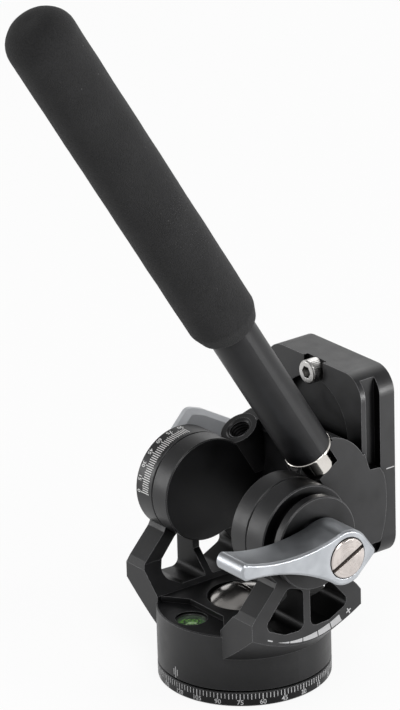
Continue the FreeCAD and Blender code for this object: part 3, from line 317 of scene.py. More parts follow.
def metal(name, dark, light, gloss, centre, axis, pitch=0.25 * MM, edge=0.3 * MM, edge_colour=None,
          lines=0.5, metallic=1.0, dust=0.0, grime=0.0, reach=1.5 * MM, depth=0.0, relief=0.35, **plain):
    """Turned or milled metal: tool lines, slow blotches, a painted highlight along edges, dust, and painted shade
    in slots, seams and hollows.

    dark and light are the ends of its colour, gloss the ends of its roughness. reach is the width of a
    slot or seam that is painted darker: painted shade. Inside hollows as wide as depth the colour is painted
    darker too and the Metallic is raised there to take the sheen down: painted shade. relief is the
    strength of the surface's fine unevenness.
    """
    material, tree, shader, position = start_material(name, Metallic=metallic, **plain)
    streaks = place_effect(tree, TOOL_LINES, {
        "Position": position, "Centre": centre, "Axis": axis, "Pitch": pitch,
    }).outputs["Lines"]
    slow, fine = blotched(tree, position)
    rounded_edge = place_effect(tree, EDGE_LIGHT, {"Radius": edge, "Gain": EDGE_HIGHLIGHT_GAIN})
    tone = blend_colour(tree, spread_noise(tree, slow), dark, light)
    closed = place_effect(tree, CREVICE, {"Reach": reach}).outputs["Mask"]
    # Painted highlight: a lighter colour along edges, broken up by grain and left out in slots and seams.
    if edge_colour is not None:
        ragged = times(tree, rounded_edge.outputs["Mask"], spread(tree, fine, *EDGE_HIGHLIGHT_GRAIN))
        ragged = times(tree, ragged, spread(tree, closed, *EDGE_HIGHLIGHT_IN_HOLLOWS))
        tone = blend_colour(tree, ragged, tone, edge_colour)
    if dust:
        specks = place_effect(tree, DUST, {"Position": position, "Amount": dust}).outputs["Mask"]
        tone = blend_colour(tree, specks, tone, DUST_COLOUR)
    # Painted shade: slots and seams are painted darker; with depth, wide hollows are painted darker too and their
    # Metallic is raised to take the sheen down.
    if grime:
        closed = times(tree, closed, grime)
        if depth:
            wide = place_effect(tree, CREVICE, {"Reach": depth}).outputs["Mask"]
            closed = arithmetic(tree, "MAXIMUM", closed, times(tree, wide, HOLLOW_SHADE_SHARE))
            tree.links.new(closed, shader.inputs["Metallic"])
        tone = blend_colour(tree, closed, tone, tuple(CREVICE_SHADE_TONE * part for part in dark))
    duller = times(tree, arithmetic(tree, "SUBTRACT", streaks, 0.5), lines * STREAK_GLOSS)
    rough = arithmetic(tree, "ADD", spread_noise(tree, slow, *gloss), duller, clamp=True)
    coloured(tree, shader, tone, rough)
    height = arithmetic(tree, "ADD", times(tree, streaks, lines), fine)
    bumped(tree, shader, height, GRAIN_HEIGHT, relief, rounded_edge.outputs["Normal"])
    return material


FOAM_DARK = (0.0045, 0.0045, 0.0047)
FOAM_LIGHT = (0.0125, 0.0125, 0.0128)
FOAM_RIM = (0.028, 0.028, 0.029)
FOAM_SPECK = (0.12, 0.12, 0.12)
FOAM_GLOSS = (0.82, 0.97)
FOAM_RELIEF = 0.7
PORES_PER_METRE = 2100.0
PORE_RIM = (0.1, 0.6)
PORE_TONE = 0.45
PORE_SHARE = 0.7
PORE_HEIGHT = 0.14 * MM
FOAM_SPECKS_PER_METRE = 160.0
FOAM_SPECK_RIM = (0.02, 0.05)


def make_foam():
    """Closed-cell foam: fine pores with lighter walls and a few pale specks."""
    material, tree, shader, position = start_material("foam_matt", Metallic=0.0, Sheen_Weight=0.05,
                                                      Sheen_Roughness=0.5, Specular_IOR_Level=0.25)
    slow, fine = blotched(tree, position, 14.0 * MM, 0.5 * MM)
    pores = spread(tree, cells(tree, position, PORES_PER_METRE), *PORE_RIM)
    specks = spread(tree, cells(tree, position, FOAM_SPECKS_PER_METRE), *FOAM_SPECK_RIM, 0.5, 0.0)
    tone = blend_colour(tree, spread_noise(tree, slow), FOAM_DARK, FOAM_LIGHT)
    tone = blend_colour(tree, times(tree, pores, PORE_TONE), tone, FOAM_RIM)
    tone = blend_colour(tree, specks, tone, FOAM_SPECK)
    coloured(tree, shader, tone, spread_noise(tree, fine, *FOAM_GLOSS))
    relief = arithmetic(tree, "ADD", times(tree, pores, PORE_SHARE), fine)
    bumped(tree, shader, relief, PORE_HEIGHT, FOAM_RELIEF)
    return material


INK_GLOSS = (0.45, 0.62)
INK_PATCHES = (0.35, 0.65)
INK_GRAIN_HEIGHT = 0.01 * MM


def make_ink(name, thin, thick):
    """White scale paint, a little uneven where the metal shows through."""
    material, tree, shader, position = start_material(name, Metallic=0.0, Specular_IOR_Level=0.3)
    slow, fine = blotched(tree, position, 1.5 * MM, 0.12 * MM)
    tone = blend_colour(tree, spread(tree, fine, *INK_PATCHES), thin, thick)
    coloured(tree, shader, tone, spread_noise(tree, slow, *INK_GLOSS))
    bumped(tree, shader, fine, INK_GRAIN_HEIGHT, 0.4)
    return material


RUBBED_GAIN = 2.5
RUBBED_LIFT = 0.02
RUBBED_SHARE = 0.35


def make_plastic(name, dark, light, gloss, relief=0.05 * MM):
    """Moulded plastic or rubber with a fine grain and slightly paler edges."""
    material, tree, shader, position = start_material(name, Metallic=0.0)
    slow, fine = blotched(tree, position, 5.0 * MM, 0.3 * MM)
    rounded_edge = place_effect(tree, EDGE_LIGHT, {"Radius": 0.25 * MM, "Gain": 4.0})
    tone = blend_colour(tree, spread_noise(tree, slow), dark, light)
    rubbed = tuple(min(1.0, RUBBED_GAIN * part + RUBBED_LIFT) for part in light)
    share = times(tree, rounded_edge.outputs["Mask"], RUBBED_SHARE)
    tone = blend_colour(tree, share, tone, rubbed)
    coloured(tree, shader, tone, spread_noise(tree, fine, *gloss))
    bumped(tree, shader, fine, relief, 0.5, rounded_edge.outputs["Normal"])
    return material


SWIRLS = (0.42, 0.62)


def make_clear(name, tints, gloss, **plain):
    """Clear or tinted parts of the level, with faint swirls in their tint."""
    material, tree, shader, position = start_material(name, Metallic=0.0, **plain)
    slow, fine = blotched(tree, position, 1.5 * MM, 0.4 * MM)
    tone = blend_colour(tree, spread(tree, slow, *SWIRLS), *tints)
    coloured(tree, shader, tone, spread_noise(tree, fine, *gloss))
    return material


ABOUT_PAN = ((0.0, 0.0, 0.0), (0.0, 0.0, 1.0))
ABOUT_TILT = (tuple(TILT_CENTRE), (1.0, 0.0, 0.0))
ABOUT_HANDLE = (tuple(NEAR_BOSS), tuple(HANDLE_AXIS))
ABOUT_CAMERA_SCREW = (tuple(JOINTS["camera_screw"]["pos_m"]), (0.0, 1.0, 0.0))
BLACK_DARK = (0.0045, 0.0045, 0.0051)
BLACK_LIGHT = (0.0085, 0.0085, 0.0096)
# A pale grey painted along the edges of the black parts: painted highlight.
BLACK_EDGE_HIGHLIGHT = (0.30, 0.30, 0.31)


def black(name, centre, axis, **changes):
    """Satin black anodised aluminium; centre and axis say how it was turned or milled."""
    # The black parts get painted shade in slots and seams, and deep into wide hollows.
    settings = dict(dark=BLACK_DARK, light=BLACK_LIGHT, gloss=(0.36, 0.46), edge_colour=BLACK_EDGE_HIGHLIGHT,
                    edge=0.28 * MM, metallic=0.0, dust=0.25, grime=1.0, reach=1.1 * MM, depth=9.0 * MM,
                    Specular_IOR_Level=0.42)
    settings.update(changes)
    return metal(name, centre=centre, axis=axis, **settings)


# The wide depths here paint shade deep into the yoke and between the cheeks: painted shade.
ANODISED_PAN = black("anodised_pan", *ABOUT_PAN, depth=27.0 * MM)
ANODISED_TILT = black("anodised_tilt", *ABOUT_TILT, depth=34.0 * MM)
ANODISED_PLATE = black("anodised_plate", *ABOUT_CAMERA_SCREW, lines=0.3)
ANODISED_TUBE = black("anodised_tube", *ABOUT_HANDLE, gloss=(0.38, 0.44), lines=0.25, edge_colour=None,
                      dust=0.1, Specular_IOR_Level=0.30)
SILVER = metal("silver_satin", (0.34, 0.355, 0.375), (0.40, 0.415, 0.435), (0.34, 0.42), *ABOUT_TILT,
               pitch=0.4 * MM, edge=0.4 * MM, edge_colour=(0.55, 0.56, 0.58), lines=0.35, grime=0.35)
# A lighter, unmetallic copy of the satin silver for the far lock lever, which has the drag lever's finish: painted
# light.
SILVER_LIT_COPY = metal("silver_lit_copy", (0.55, 0.565, 0.59), (0.62, 0.635, 0.66), (0.45, 0.55), *ABOUT_TILT,
                    pitch=0.4 * MM, edge=0.4 * MM, edge_colour=(0.72, 0.73, 0.75), lines=0.3,
                    metallic=0.0, Specular_IOR_Level=0.5)
NICKEL = metal("nickel_warm", (0.47, 0.43, 0.41), (0.60, 0.55, 0.52), (0.22, 0.34), *ABOUT_TILT,
               pitch=0.18 * MM, edge=0.12 * MM, edge_colour=(0.8, 0.76, 0.73), lines=1.0, grime=1.0)
STEEL = metal("steel_turned", (0.45, 0.44, 0.43), (0.56, 0.55, 0.54), (0.22, 0.34), *ABOUT_PAN,
              pitch=0.2 * MM, edge=0.15 * MM, edge_colour=(0.8, 0.8, 0.8), lines=0.8, grime=0.9)
CHROME = metal("chrome_bright", (0.68, 0.65, 0.61), (0.76, 0.73, 0.69), (0.08, 0.15), *ABOUT_PAN,
               pitch=0.5 * MM, edge=0.2 * MM, edge_colour=(0.9, 0.88, 0.86), lines=0.12, grime=0.6,
               relief=0.12)
POLISHED = metal("cap_polished", (0.42, 0.40, 0.385), (0.50, 0.48, 0.46), (0.18, 0.24), *ABOUT_PAN,
                 pitch=0.35 * MM, edge=0.25 * MM, edge_colour=(0.85, 0.83, 0.81), lines=0.12, grime=0.8,
                 relief=0.05)
BRASS = metal("brass_turned", (0.62, 0.44, 0.17), (0.72, 0.53, 0.24), (0.25, 0.36), *ABOUT_PAN,
              edge_colour=(0.85, 0.7, 0.42), lines=0.7)
BARE = metal("aluminium_turned", (0.52, 0.52, 0.53), (0.62, 0.62, 0.63), (0.28, 0.38), *ABOUT_PAN,
             edge_colour=(0.8, 0.8, 0.8), lines=0.9)
FOAM = make_foam()
# A darker grey copy of the white scale paint for the pan scale, the index, the drag band and the platform line:
# painted shade.
SHADED_INK = make_ink("scale_paint", (0.38, 0.38, 0.385), (0.50, 0.50, 0.505))
BRIGHT_INK = make_ink("tilt_scale_paint", (0.78, 0.78, 0.77), (0.92, 0.92, 0.91))
BEARING = make_plastic("bearing_plastic", (0.62, 0.60, 0.55), (0.72, 0.70, 0.65), (0.42, 0.55))
KNOB = make_plastic("knob_plastic", (0.014, 0.014, 0.015), (0.022, 0.022, 0.023), (0.42, 0.58))
RUBBER = make_plastic("pad_rubber", (0.012, 0.012, 0.012), (0.02, 0.02, 0.02), (0.6, 0.8),
                      relief=0.12 * MM)
VIAL = make_plastic("vial_holder", (0.02, 0.021, 0.02), (0.03, 0.032, 0.03), (0.25, 0.4))
LENS = make_clear("vial_lens", ((0.30, 0.42, 0.30), (0.45, 0.60, 0.45)), (0.02, 0.06), Alpha=0.18,
                  IOR=1.45)
# The liquid is given a faint green glow though it is no lamp, and its paler swirls stand in for bright streaks of
# light: painted light.
LIQUID = make_clear("vial_liquid", ((0.01, 0.06, 0.005), (0.30, 0.72, 0.08)), (0.04, 0.14), IOR=1.36,
                    Emission_Color=(0.05, 0.30, 0.03, 1.0), Emission_Strength=0.06)
BUBBLE = make_clear("vial_bubble", ((0.45, 0.75, 0.30), (0.75, 0.95, 0.62)), (0.02, 0.08), IOR=1.2)

FINISHES = {
    ANODISED_PAN: ["base_disc", "yoke"],
    ANODISED_TILT: ["near_cheek", "far_cheek", "drag_cap", "lock_cap"],
    ANODISED_PLATE: ["cradle_web", "platform", "camera_plate", "clamp_jaw"],
    ANODISED_TUBE: ["handle_tube", "grip_plug"],
    SILVER: ["drag_lever"],
    SILVER_LIT_COPY: ["lock_lever"],
    NICKEL: ["drag_lever_screw", "lock_lever_screw", "camera_screw"],
    STEEL: ["stop_screw", "platform_screws", "axle_screws", "axle_nut", "spring_washer",
            "near_disc_spring", "far_disc_spring", "guide_pins", "clamp_screw", "handle_stud",
            "near_pivot", "far_pivot", "pan_lock_screw"],
    CHROME: ["handle_collar"],
    POLISHED: ["centre_cap"],
    BARE: ["pan_axle"],
    BRASS: ["tripod_bush", "pan_lock_shoe", "pan_bush", "near_bush", "far_bush"],
    BEARING: ["glide_ring", "thrust_washer", "near_friction_disc", "far_friction_disc"],
    KNOB: ["pan_lock_knob", "clamp_knob"],
    RUBBER: ["plate_pads"],
    VIAL: ["level_cup"],
    LENS: ["level_lens"],
    LIQUID: ["level_liquid"],
    BUBBLE: ["level_bubble"],
    FOAM: ["foam_grip"],
}


def coat(mesh, finish):
    """Give a mesh one finish in place of what it had."""
    mesh.materials.clear()
    mesh.materials.append(finish)


for finish, names in FINISHES.items():
    for name in names:
        coat(NODES[name].data, finish)


# ---------- mesh pieces
SHARP_ANGLE = 35.0
TURNED_ANGLE = 40.0
RIDGED_ANGLE = 50.0
SOFT_ANGLE = 60.0


def in_scene(name, data):
    """A new object in the scene that shows a mesh, a curve, a lamp or a camera."""
    thing = bpy.data.objects.new(name, data)
    bpy.context.scene.collection.objects.link(thing)
    return thing


def plain_object(name, mesh_builder):
    """An object with the mesh of a bmesh, which is freed."""
    mesh = bpy.data.meshes.new(name)
    mesh_builder.to_mesh(mesh)
    mesh_builder.free()
    return in_scene(name, mesh)


def shade(mesh, sharp_angle):
    """Smooth shading, with edges kept sharp where faces meet at more than an angle in degrees."""
    mesh.shade_smooth()
    mesh.set_sharp_from_angle(angle=math.radians(sharp_angle))


def new_piece(name, mesh_builder, body, material, sharp_angle=SHARP_ANGLE):
    """A piece made from a bmesh; it rides on a body and has one material."""
    piece = plain_object(name, mesh_builder)
    piece.data.materials.append(material)
    shade(piece.data, sharp_angle)
    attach(piece, body)
    return piece


def eased(corners, steps):
    """A profile whose corners (radius, height, round) are replaced by short arcs."""
    path = []
    for number, (radius, height, size) in enumerate(corners):
        here = Vector((radius, height))
        if not size:
            path.append(here)
            continue
        before = (Vector(corners[number - 1][:2]) - here).normalized()
        after = (Vector(corners[number + 1][:2]) - here).normalized()
        half = before.angle(after) / 2
        centre = here + (before + after).normalized() * (size / math.sin(half))
        first = here + before * (size / math.tan(half)) - centre
        last = here + after * (size / math.tan(half)) - centre
        turn = first.angle_signed(last)
        for step in range(steps + 1):
            angle = -turn * step / steps
            cos, sin = math.cos(angle), math.sin(angle)
            path.append(centre + Vector((first.x * cos - first.y * sin, first.x * sin + first.y * cos)))
    return [tuple(point) for point in path]


def around(radius, angle, height):
    """A point by its radius, angle and height about the Z axis."""
    return Vector((radius * math.cos(angle), radius * math.sin(angle), height))


ON_AXIS = 1e-6


def lathe(profile, place, steps=96, swell=None):
    """Turn (radius, height) points about the Z axis; swell changes a radius by angle and height."""
    mesh = bmesh.new()
    rings = []
    for radius, height in profile:
        if radius < ON_AXIS:
            rings.append([mesh.verts.new(place @ Vector((0, 0, height)))])
            continue
        points = []
        for step in range(steps):
            angle = 2 * math.pi * step / steps
            wide = radius + (swell(angle, height, radius) if swell else 0)
            points.append(mesh.verts.new(place @ around(wide, angle, height)))
        rings.append(points)
    for low, high in zip(rings, rings[1:]):
        for step in range(steps):
            after = step + 1
            corners = [low[step % len(low)], low[after % len(low)], high[after % len(high)],
                       high[step % len(high)]]
            corners = list(dict.fromkeys(corners))
            if len(corners) > 2:
                mesh.faces.new(corners)
    return mesh


def patch(mesh, corner_of, across, along):
    """A thin closed plate: corner_of(u, v, side) gives its points, u and v from 0 to 1, side 0 or 1."""
    sides = []
    for side in (0, 1):
        sides.append([[mesh.verts.new(corner_of(i / across, j / along, side)) for j in range(along + 1)]
                      for i in range(across + 1)])
    low, high = sides
    for i in range(across):
        for j in range(along):
            mesh.faces.new((high[i][j], high[i + 1][j], high[i + 1][j + 1], high[i][j + 1]))
            mesh.faces.new((low[i][j + 1], low[i + 1][j + 1], low[i + 1][j], low[i][j]))
    rim = [(i, 0) for i in range(across)] + [(across, j) for j in range(along)]
    rim += [(i, along) for i in range(across, 0, -1)] + [(0, j) for j in range(along, 0, -1)]
    for (a, b), (c, d) in zip(rim, rim[1:] + rim[:1]):
        mesh.faces.new((low[a][b], low[c][d], high[c][d], high[a][b]))


INK_SINK = 0.03 * MM
INK_LIFT = 0.025 * MM


def ink_level(side):
    """How far the under side (0) or the outer side (1) of the paint lies from the metal."""
    return INK_LIFT if side else -INK_SINK


def tick(mesh, place, radius, degrees, width, low, high):
    """A scale line along the axis of a cylinder, a little proud of it."""
    half = width / radius / 2

    def corner(u, v, side):
        angle = math.radians(degrees) + half * (2 * u - 1)
        return place @ around(radius + ink_level(side), angle, low + (high - low) * v)
    patch(mesh, corner, 1, 1)


FIGURE_WEIGHT = 0.012


def figure_mesh(words, size):
    """The solid shape of a short text, centred, lying in the XY plane."""
    curve = bpy.data.curves.new("figure", "FONT")
    curve.body = words
    curve.size = size
    curve.align_x = "CENTER"
    curve.align_y = "CENTER"
    curve.extrude = (INK_SINK + INK_LIFT) / 2
    curve.offset = size * FIGURE_WEIGHT
    curve.resolution_u = 3
    shape = in_scene("figure", curve)
    bpy.context.view_layer.update()
    mesh = bpy.data.meshes.new_from_object(shape)
    bpy.data.objects.remove(shape)
    bpy.data.curves.remove(curve)
    return mesh


def add_figure(mesh, words, size, bend):
    """Add a text to a bmesh; bend maps its flat points (across, up, out) to their place."""
    flat = figure_mesh(words, size)
    known = len(mesh.verts)
    mesh.from_mesh(flat)
    bpy.data.meshes.remove(flat)
    mesh.verts.ensure_lookup_table()
    middle = (INK_LIFT - INK_SINK) / 2
    for vertex in mesh.verts[known:]:
        vertex.co = bend(vertex.co.x, vertex.co.y, vertex.co.z + middle)


# ---------- scales, drag band and level line
SCALE_STEP = 2.5
FIGURE_EVERY = 6
MIDDLE_EVERY = 3
# Each kind of line has its width, low end and high end, along the axis of its scale.
PAN_TICKS = {
    "figured": (0.34 * MM, 2.45 * MM, 4.72 * MM),
    "middle": (0.30 * MM, 2.62 * MM, 4.72 * MM),
    "short": (0.26 * MM, 2.82 * MM, 4.72 * MM),
}
TILT_TICKS = {
    "figured": (0.31 * MM, -32.1 * MM, -27.8 * MM),
    "middle": (0.31 * MM, -31.5 * MM, -27.9 * MM),
    "short": (0.31 * MM, -31.2 * MM, -28.1 * MM),
}
DRUM_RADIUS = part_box("base_disc")[1].x
EAR_RADIUS = 18.4 * MM
INDEX_ANGLE = -89.4
INDEX_SPACING = 0.95 * MM
INDEX_WIDTH = 0.36 * MM
INDEX_STROKES = ((-1, 7.0 * MM, 9.3 * MM), (0, 6.1 * MM, 10.2 * MM), (1, 7.0 * MM, 9.3 * MM))


def tick_kind(number):
    """Which of the three kinds of line a scale has at a step."""
    if number % FIGURE_EVERY == 0:
        return "figured"
    return "middle" if number % MIDDLE_EVERY == 0 else "short"


def make_scale(name, body, ink, place, radius, zero, count, ticks, figure_height, figure_size):
    """Lines along the rim of a cylinder, counted clockwise from zero, and a figure beside each sixth."""
    lines = bmesh.new()
    figures = bmesh.new()
    for number in range(count):
        reading = number * SCALE_STEP
        angle = zero - reading
        kind = tick_kind(number)
        tick(lines, place, radius, angle, *ticks[kind])
        if kind == "figured":
            def bend(across, up, out, angle=angle):
                turn = math.radians(angle) + across / radius
                return place @ around(radius + out, turn, figure_height + up)
            add_figure(figures, "%d" % reading, figure_size, bend)
    new_piece(name + "_lines", lines, body, ink)
    new_piece(name + "_figures", figures, body, ink)


def make_pan_index():
    """Three short strokes on the drum, the middle one longest."""
    strokes = bmesh.new()
    spacing = math.degrees(INDEX_SPACING / DRUM_RADIUS)
    for number, low, high in INDEX_STROKES:
        tick(strokes, PAN, DRUM_RADIUS, INDEX_ANGLE + number * spacing, INDEX_WIDTH, low, high)
    new_piece("pan_index", strokes, "pan_body", SHADED_INK)


ARM_FACE = 35.2 * MM
BAND_MIDDLE = 37.3 * MM
BAND_BREAKS = (-20.0, -11.8, -3.1, 7.0, 15.8, 23.3)
BAND_GAP = 0.32
BAND_GROWTH_IN = 1.95 * MM
BAND_GROWTH_OUT = 0.85 * MM
BAND_OUT_PACE = 1.8
BAND_SIGNS = (("−", -25.5), ("+", 29.0))
BAND_SIGN_SIZE = 4.6 * MM


def on_arm(radius, degrees, lift):
    """A point over the near arm's face: distance from the tilt axis, angle from straight down, lift."""
    turn = math.radians(degrees)
    return TILT_CENTRE + Vector((ARM_FACE + lift, radius * math.sin(turn), -radius * math.cos(turn)))


def band_edges(degrees):
    """Inner and outer radius of the drag band, which widens towards its tight end."""
    share = (degrees - BAND_BREAKS[0]) / (BAND_BREAKS[-1] - BAND_BREAKS[0])
    outer = BAND_MIDDLE + BAND_GROWTH_OUT * min(1.0, BAND_OUT_PACE * share)
    return BAND_MIDDLE - BAND_GROWTH_IN * share, outer


def make_drag_band():
    """The widening band under the drag lever, with a sign at each end."""
    band = bmesh.new()
    for first, last in zip(BAND_BREAKS, BAND_BREAKS[1:]):
        def corner(u, v, side, first=first + BAND_GAP, last=last - BAND_GAP):
            degrees = first + (last - first) * u
            inner, outer = band_edges(degrees)
            return on_arm(inner + (outer - inner) * v, degrees, ink_level(side))
        patch(band, corner, 8, 1)
    for words, degrees in BAND_SIGNS:
        def bend(across, up, out, degrees=degrees):
            turn = degrees + math.degrees(across / BAND_MIDDLE)
            return on_arm(BAND_MIDDLE - up, turn, out)
        add_figure(band, words, BAND_SIGN_SIZE, bend)
    new_piece("drag_band", band, "pan_body", SHADED_INK)


LINE_FRONT = 43.2 * MM
LINE_BACK_MARGIN = 0.35 * MM
LINE_HEIGHT = 71.15 * MM
LINE_WIDTH = 0.38 * MM


def make_platform_line():
    """The white line across the side of the platform, level with its middle."""
    line = bmesh.new()
    side_face, platform_back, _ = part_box("platform")[1]
    back = platform_back - LINE_BACK_MARGIN

    def corner(u, v, side):
        along = LINE_FRONT + (back - LINE_FRONT) * u
        return Vector((side_face + ink_level(side), along, LINE_HEIGHT + LINE_WIDTH * (v - 0.5)))
    patch(line, corner, 1, 1)
    new_piece("platform_line", line, "tilt_body", SHADED_INK)


# ---------- handle
GRIP_LOW_ROUND = 5.0 * MM
GRIP_TOP_ROUND = 9.0 * MM
GRIP_STEP = 1.3 * MM
GRIP_INSET = 0.12 * MM
LUMP_LENGTH = 11 * MM
LUMPS_AROUND = 1.5
LUMP_HEIGHT = 0.11 * MM
RIPPLE_SCALE = 5.0
RIPPLE_HEIGHT = 0.035 * MM


def stepped(profile, longest):
    """The same profile with points added, so that no step is much longer than given."""
    fine = []
    for here, after in zip(profile, profile[1:]):
        count = max(1, round(math.dist(here, after) / longest))
        for step in range(count):
            fine.append(tuple(a + (b - a) * (step / count) for a, b in zip(here, after)))
    return fine + [profile[-1]]


def make_grip():
    """Foam sleeve: rounded ends, slightly uneven, pulled in where the tube enters."""
    low, high, wide = reach_in("foam_grip", HANDLE)
    tube = reach_in("handle_tube", HANDLE)[2]
    profile = stepped(eased([
        (tube + 0.02 * MM, low + 0.9 * MM, 0), (tube + 0.25 * MM, low, 0.2 * MM),
        (wide - 1.9 * MM, low, 1.3 * MM), (wide, low + 5.6 * MM, GRIP_LOW_ROUND),
        (wide, high, GRIP_TOP_ROUND), (1.2 * MM, high, 0), (0, high - 0.1 * MM, 0),
    ], steps=10), GRIP_STEP)

    def swell(angle, height, radius):
        if radius <= tube + 0.5 * MM:
            return 0
        place = around(LUMPS_AROUND, angle, height / LUMP_LENGTH)
        slow = noise.noise(place) * LUMP_HEIGHT
        quick = noise.noise(place * RIPPLE_SCALE) * RIPPLE_HEIGHT
        return (slow + quick) * min(1.0, radius / wide) - GRIP_INSET
    sleeve = lathe(profile, HANDLE, steps=112, swell=swell)
    grip = new_piece("foam_sleeve", sleeve, "tilt_body", FOAM, SOFT_ANGLE)
    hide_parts("foam_grip")


FERRULE_BORE = 4.25 * MM
FERRULE_NECK = 5.6 * MM
FERRULE_RIM = 1.1 * MM


def make_collar():
    """Polished ferrule: a slim neck, a shoulder and a rolled bright rim under the tube."""
    low, high, wide = reach_in("handle_collar", HANDLE)
    foot, rim = low + 0.02 * MM, high - FERRULE_RIM
    profile = eased([
        (FERRULE_BORE, foot, 0), (FERRULE_NECK - 0.1 * MM, foot, 0.3 * MM),
        (FERRULE_NECK, low + 1.2 * MM, 0.5 * MM), (FERRULE_NECK, rim - 1.0 * MM, 0.8 * MM),
        (wide - 0.5 * MM, rim, 0.35 * MM), (wide, rim + 0.2 * MM, 0.15 * MM), (wide, high, 0.3 * MM),
        (FERRULE_BORE, high, 0), (FERRULE_BORE, foot, 0),
    ], steps=4)
    collar = new_piece("handle_ferrule", lathe(profile, HANDLE), "tilt_body", CHROME)
    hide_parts("handle_collar")


THREAD_STEPS = 48
THREAD_FORM = (("root", 0.0), ("root", 0.12), ("crest", 0.44), ("crest", 0.56), ("root", 0.88))


def thread(mesh, place, root, crest, pitch, low, high):
    """A helical thread surface between two radii."""
    form = [(root if part == "root" else crest, share) for part, share in THREAD_FORM]
    rows = []
    for step in range(int((high - low) / pitch * THREAD_STEPS) + 1):
        angle = 2 * math.pi * step / THREAD_STEPS
        height = low + pitch * step / THREAD_STEPS
        spots = [around(radius, angle, min(high, height + pitch * share)) for radius, share in form]
        rows.append([mesh.verts.new(place @ spot) for spot in spots])
    for first, second in zip(rows, rows[1:]):
        for a, b, c, d in zip(first, second, second[1:], first[1:]):
            mesh.faces.new((a, b, c, d))
    for a, b, c, d in zip(rows, rows[1:], rows[THREAD_STEPS + 1:], rows[THREAD_STEPS:]):
        mesh.faces.new((a[-1], b[-1], c[0], d[0]))
    return mesh


PORT_PITCH = 1.25 * MM
PORT_THREAD_DEPTH = 0.62 * MM
TRIPOD_PITCH = 1.5875 * MM
TRIPOD_THREAD_DEPTH = 0.45 * MM
THREAD_INSET = 0.01 * MM


def make_port_threads():
    """The threads cut in the spare handle port and in the tripod bush."""
    depth = PORT["dims"]["length_mm"] * MM
    radius = PORT["dims"]["r_mm"] * MM
    port = thread(bmesh.new(), SPARE_PORT, radius - THREAD_INSET, radius - PORT_THREAD_DEPTH, PORT_PITCH,
                  -depth + 0.6 * MM, -0.45 * MM)
    new_piece("port_thread", port, "tilt_body", ANODISED_TILT, RIDGED_ANGLE)
    tripod = MOUNTS["tripod_thread"]["dims"]
    wide = tripod["r_mm"] * MM
    bush = thread(bmesh.new(), PAN, wide - THREAD_INSET, wide - TRIPOD_THREAD_DEPTH, TRIPOD_PITCH,
                  0.5 * MM, tripod["length_mm"] * MM - 1.7 * MM)
    new_piece("bush_thread", bush, "base", BRASS, RIDGED_ANGLE)


# ---------- knobs and screws
RIDGE_POWER = 0.7
STEPS_PER_RIDGE = 8
KNOB_NECK = 4.2 * MM
KNOB_NECK_SHARE = 0.15
KNOB_RIDGE_DEPTH = 0.55 * MM
KNOB_RING_OUTER, KNOB_RING_INNER, KNOB_FLAT = 0.62, 0.56, 0.2


def knurl(count, depth, low, high):
    """A swell that cuts straight ridges between two heights."""
    def swell(angle, height, radius):
        if not low < height < high:
            return 0
        return -depth * (0.5 - 0.5 * math.cos(count * angle)) ** RIDGE_POWER
    return swell


def make_knob(name, node, place, body, ridges):
    """A ridged knob with a slim neck, a crowned face and a shallow ring in it."""
    low, high, wide = reach_in(node, place)
    grip_low = low + (high - low) * KNOB_NECK_SHARE
    profile = eased([
        (0, low, 0), (KNOB_NECK, low, 0), (KNOB_NECK, grip_low, 0),
        (wide - 0.8 * MM, grip_low, 0.3 * MM), (wide, grip_low + 0.9 * MM, 0.3 * MM),
        (wide, high - 1.3 * MM, 0.5 * MM), (wide - 1.0 * MM, high - 0.1 * MM, 0.4 * MM),
        (wide * KNOB_RING_OUTER, high, 0), (wide * KNOB_RING_INNER, high - 0.45 * MM, 0),
        (wide * KNOB_FLAT, high - 0.3 * MM, 0), (0, high - 0.3 * MM, 0),
    ], steps=3)
    swell = knurl(ridges, KNOB_RIDGE_DEPTH, grip_low + 0.8 * MM, high - 1.2 * MM)
    turned = lathe(profile, place, ridges * STEPS_PER_RIDGE, swell)
    knob = new_piece(name, turned, body, KNOB, RIDGED_ANGLE)
    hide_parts(node)


def cut_out(piece, tool, finish):
    """Take the tool's volume out of the piece, coat what is left and remove the tool."""
    cutting = piece.modifiers.new("cut", "BOOLEAN")
    cutting.operation = "DIFFERENCE"
    cutting.solver = "EXACT"
    cutting.object = tool
    bpy.context.view_layer.update()
    shape = bpy.data.meshes.new_from_object(piece.evaluated_get(bpy.context.evaluated_depsgraph_get()))
    piece.modifiers.clear()
    piece.data = shape
    bpy.data.objects.remove(tool)
    shade(shape, SHARP_ANGLE)
    coat(shape, finish)


def tool_block(place, size):
    """A plain block used only for cutting, centred in a frame."""
    block = bmesh.new()
    bmesh.ops.create_cube(block, size=1.0)
    bmesh.ops.transform(block, matrix=place @ Matrix.Diagonal((*size, 1.0)), verts=block.verts)
    return plain_object("tool", block)


def tool_prism(place, radius, low, high, sides):
    """A straight prism used only for cutting, about the Z axis of a frame."""
    profile = [(0, low), (radius, low), (radius, high), (0, high)]
    return plain_object("tool", lathe(profile, place, sides))


CAP_HEAD_HEIGHT = 5.0 * MM
CAP_SHANK = 2.5 * MM
CAP_RIDGES = 36
CAP_RIDGE_DEPTH = 0.14 * MM
SOCKET_RADIUS = 2.3 * MM
SOCKET_DEPTH = 2.6 * MM


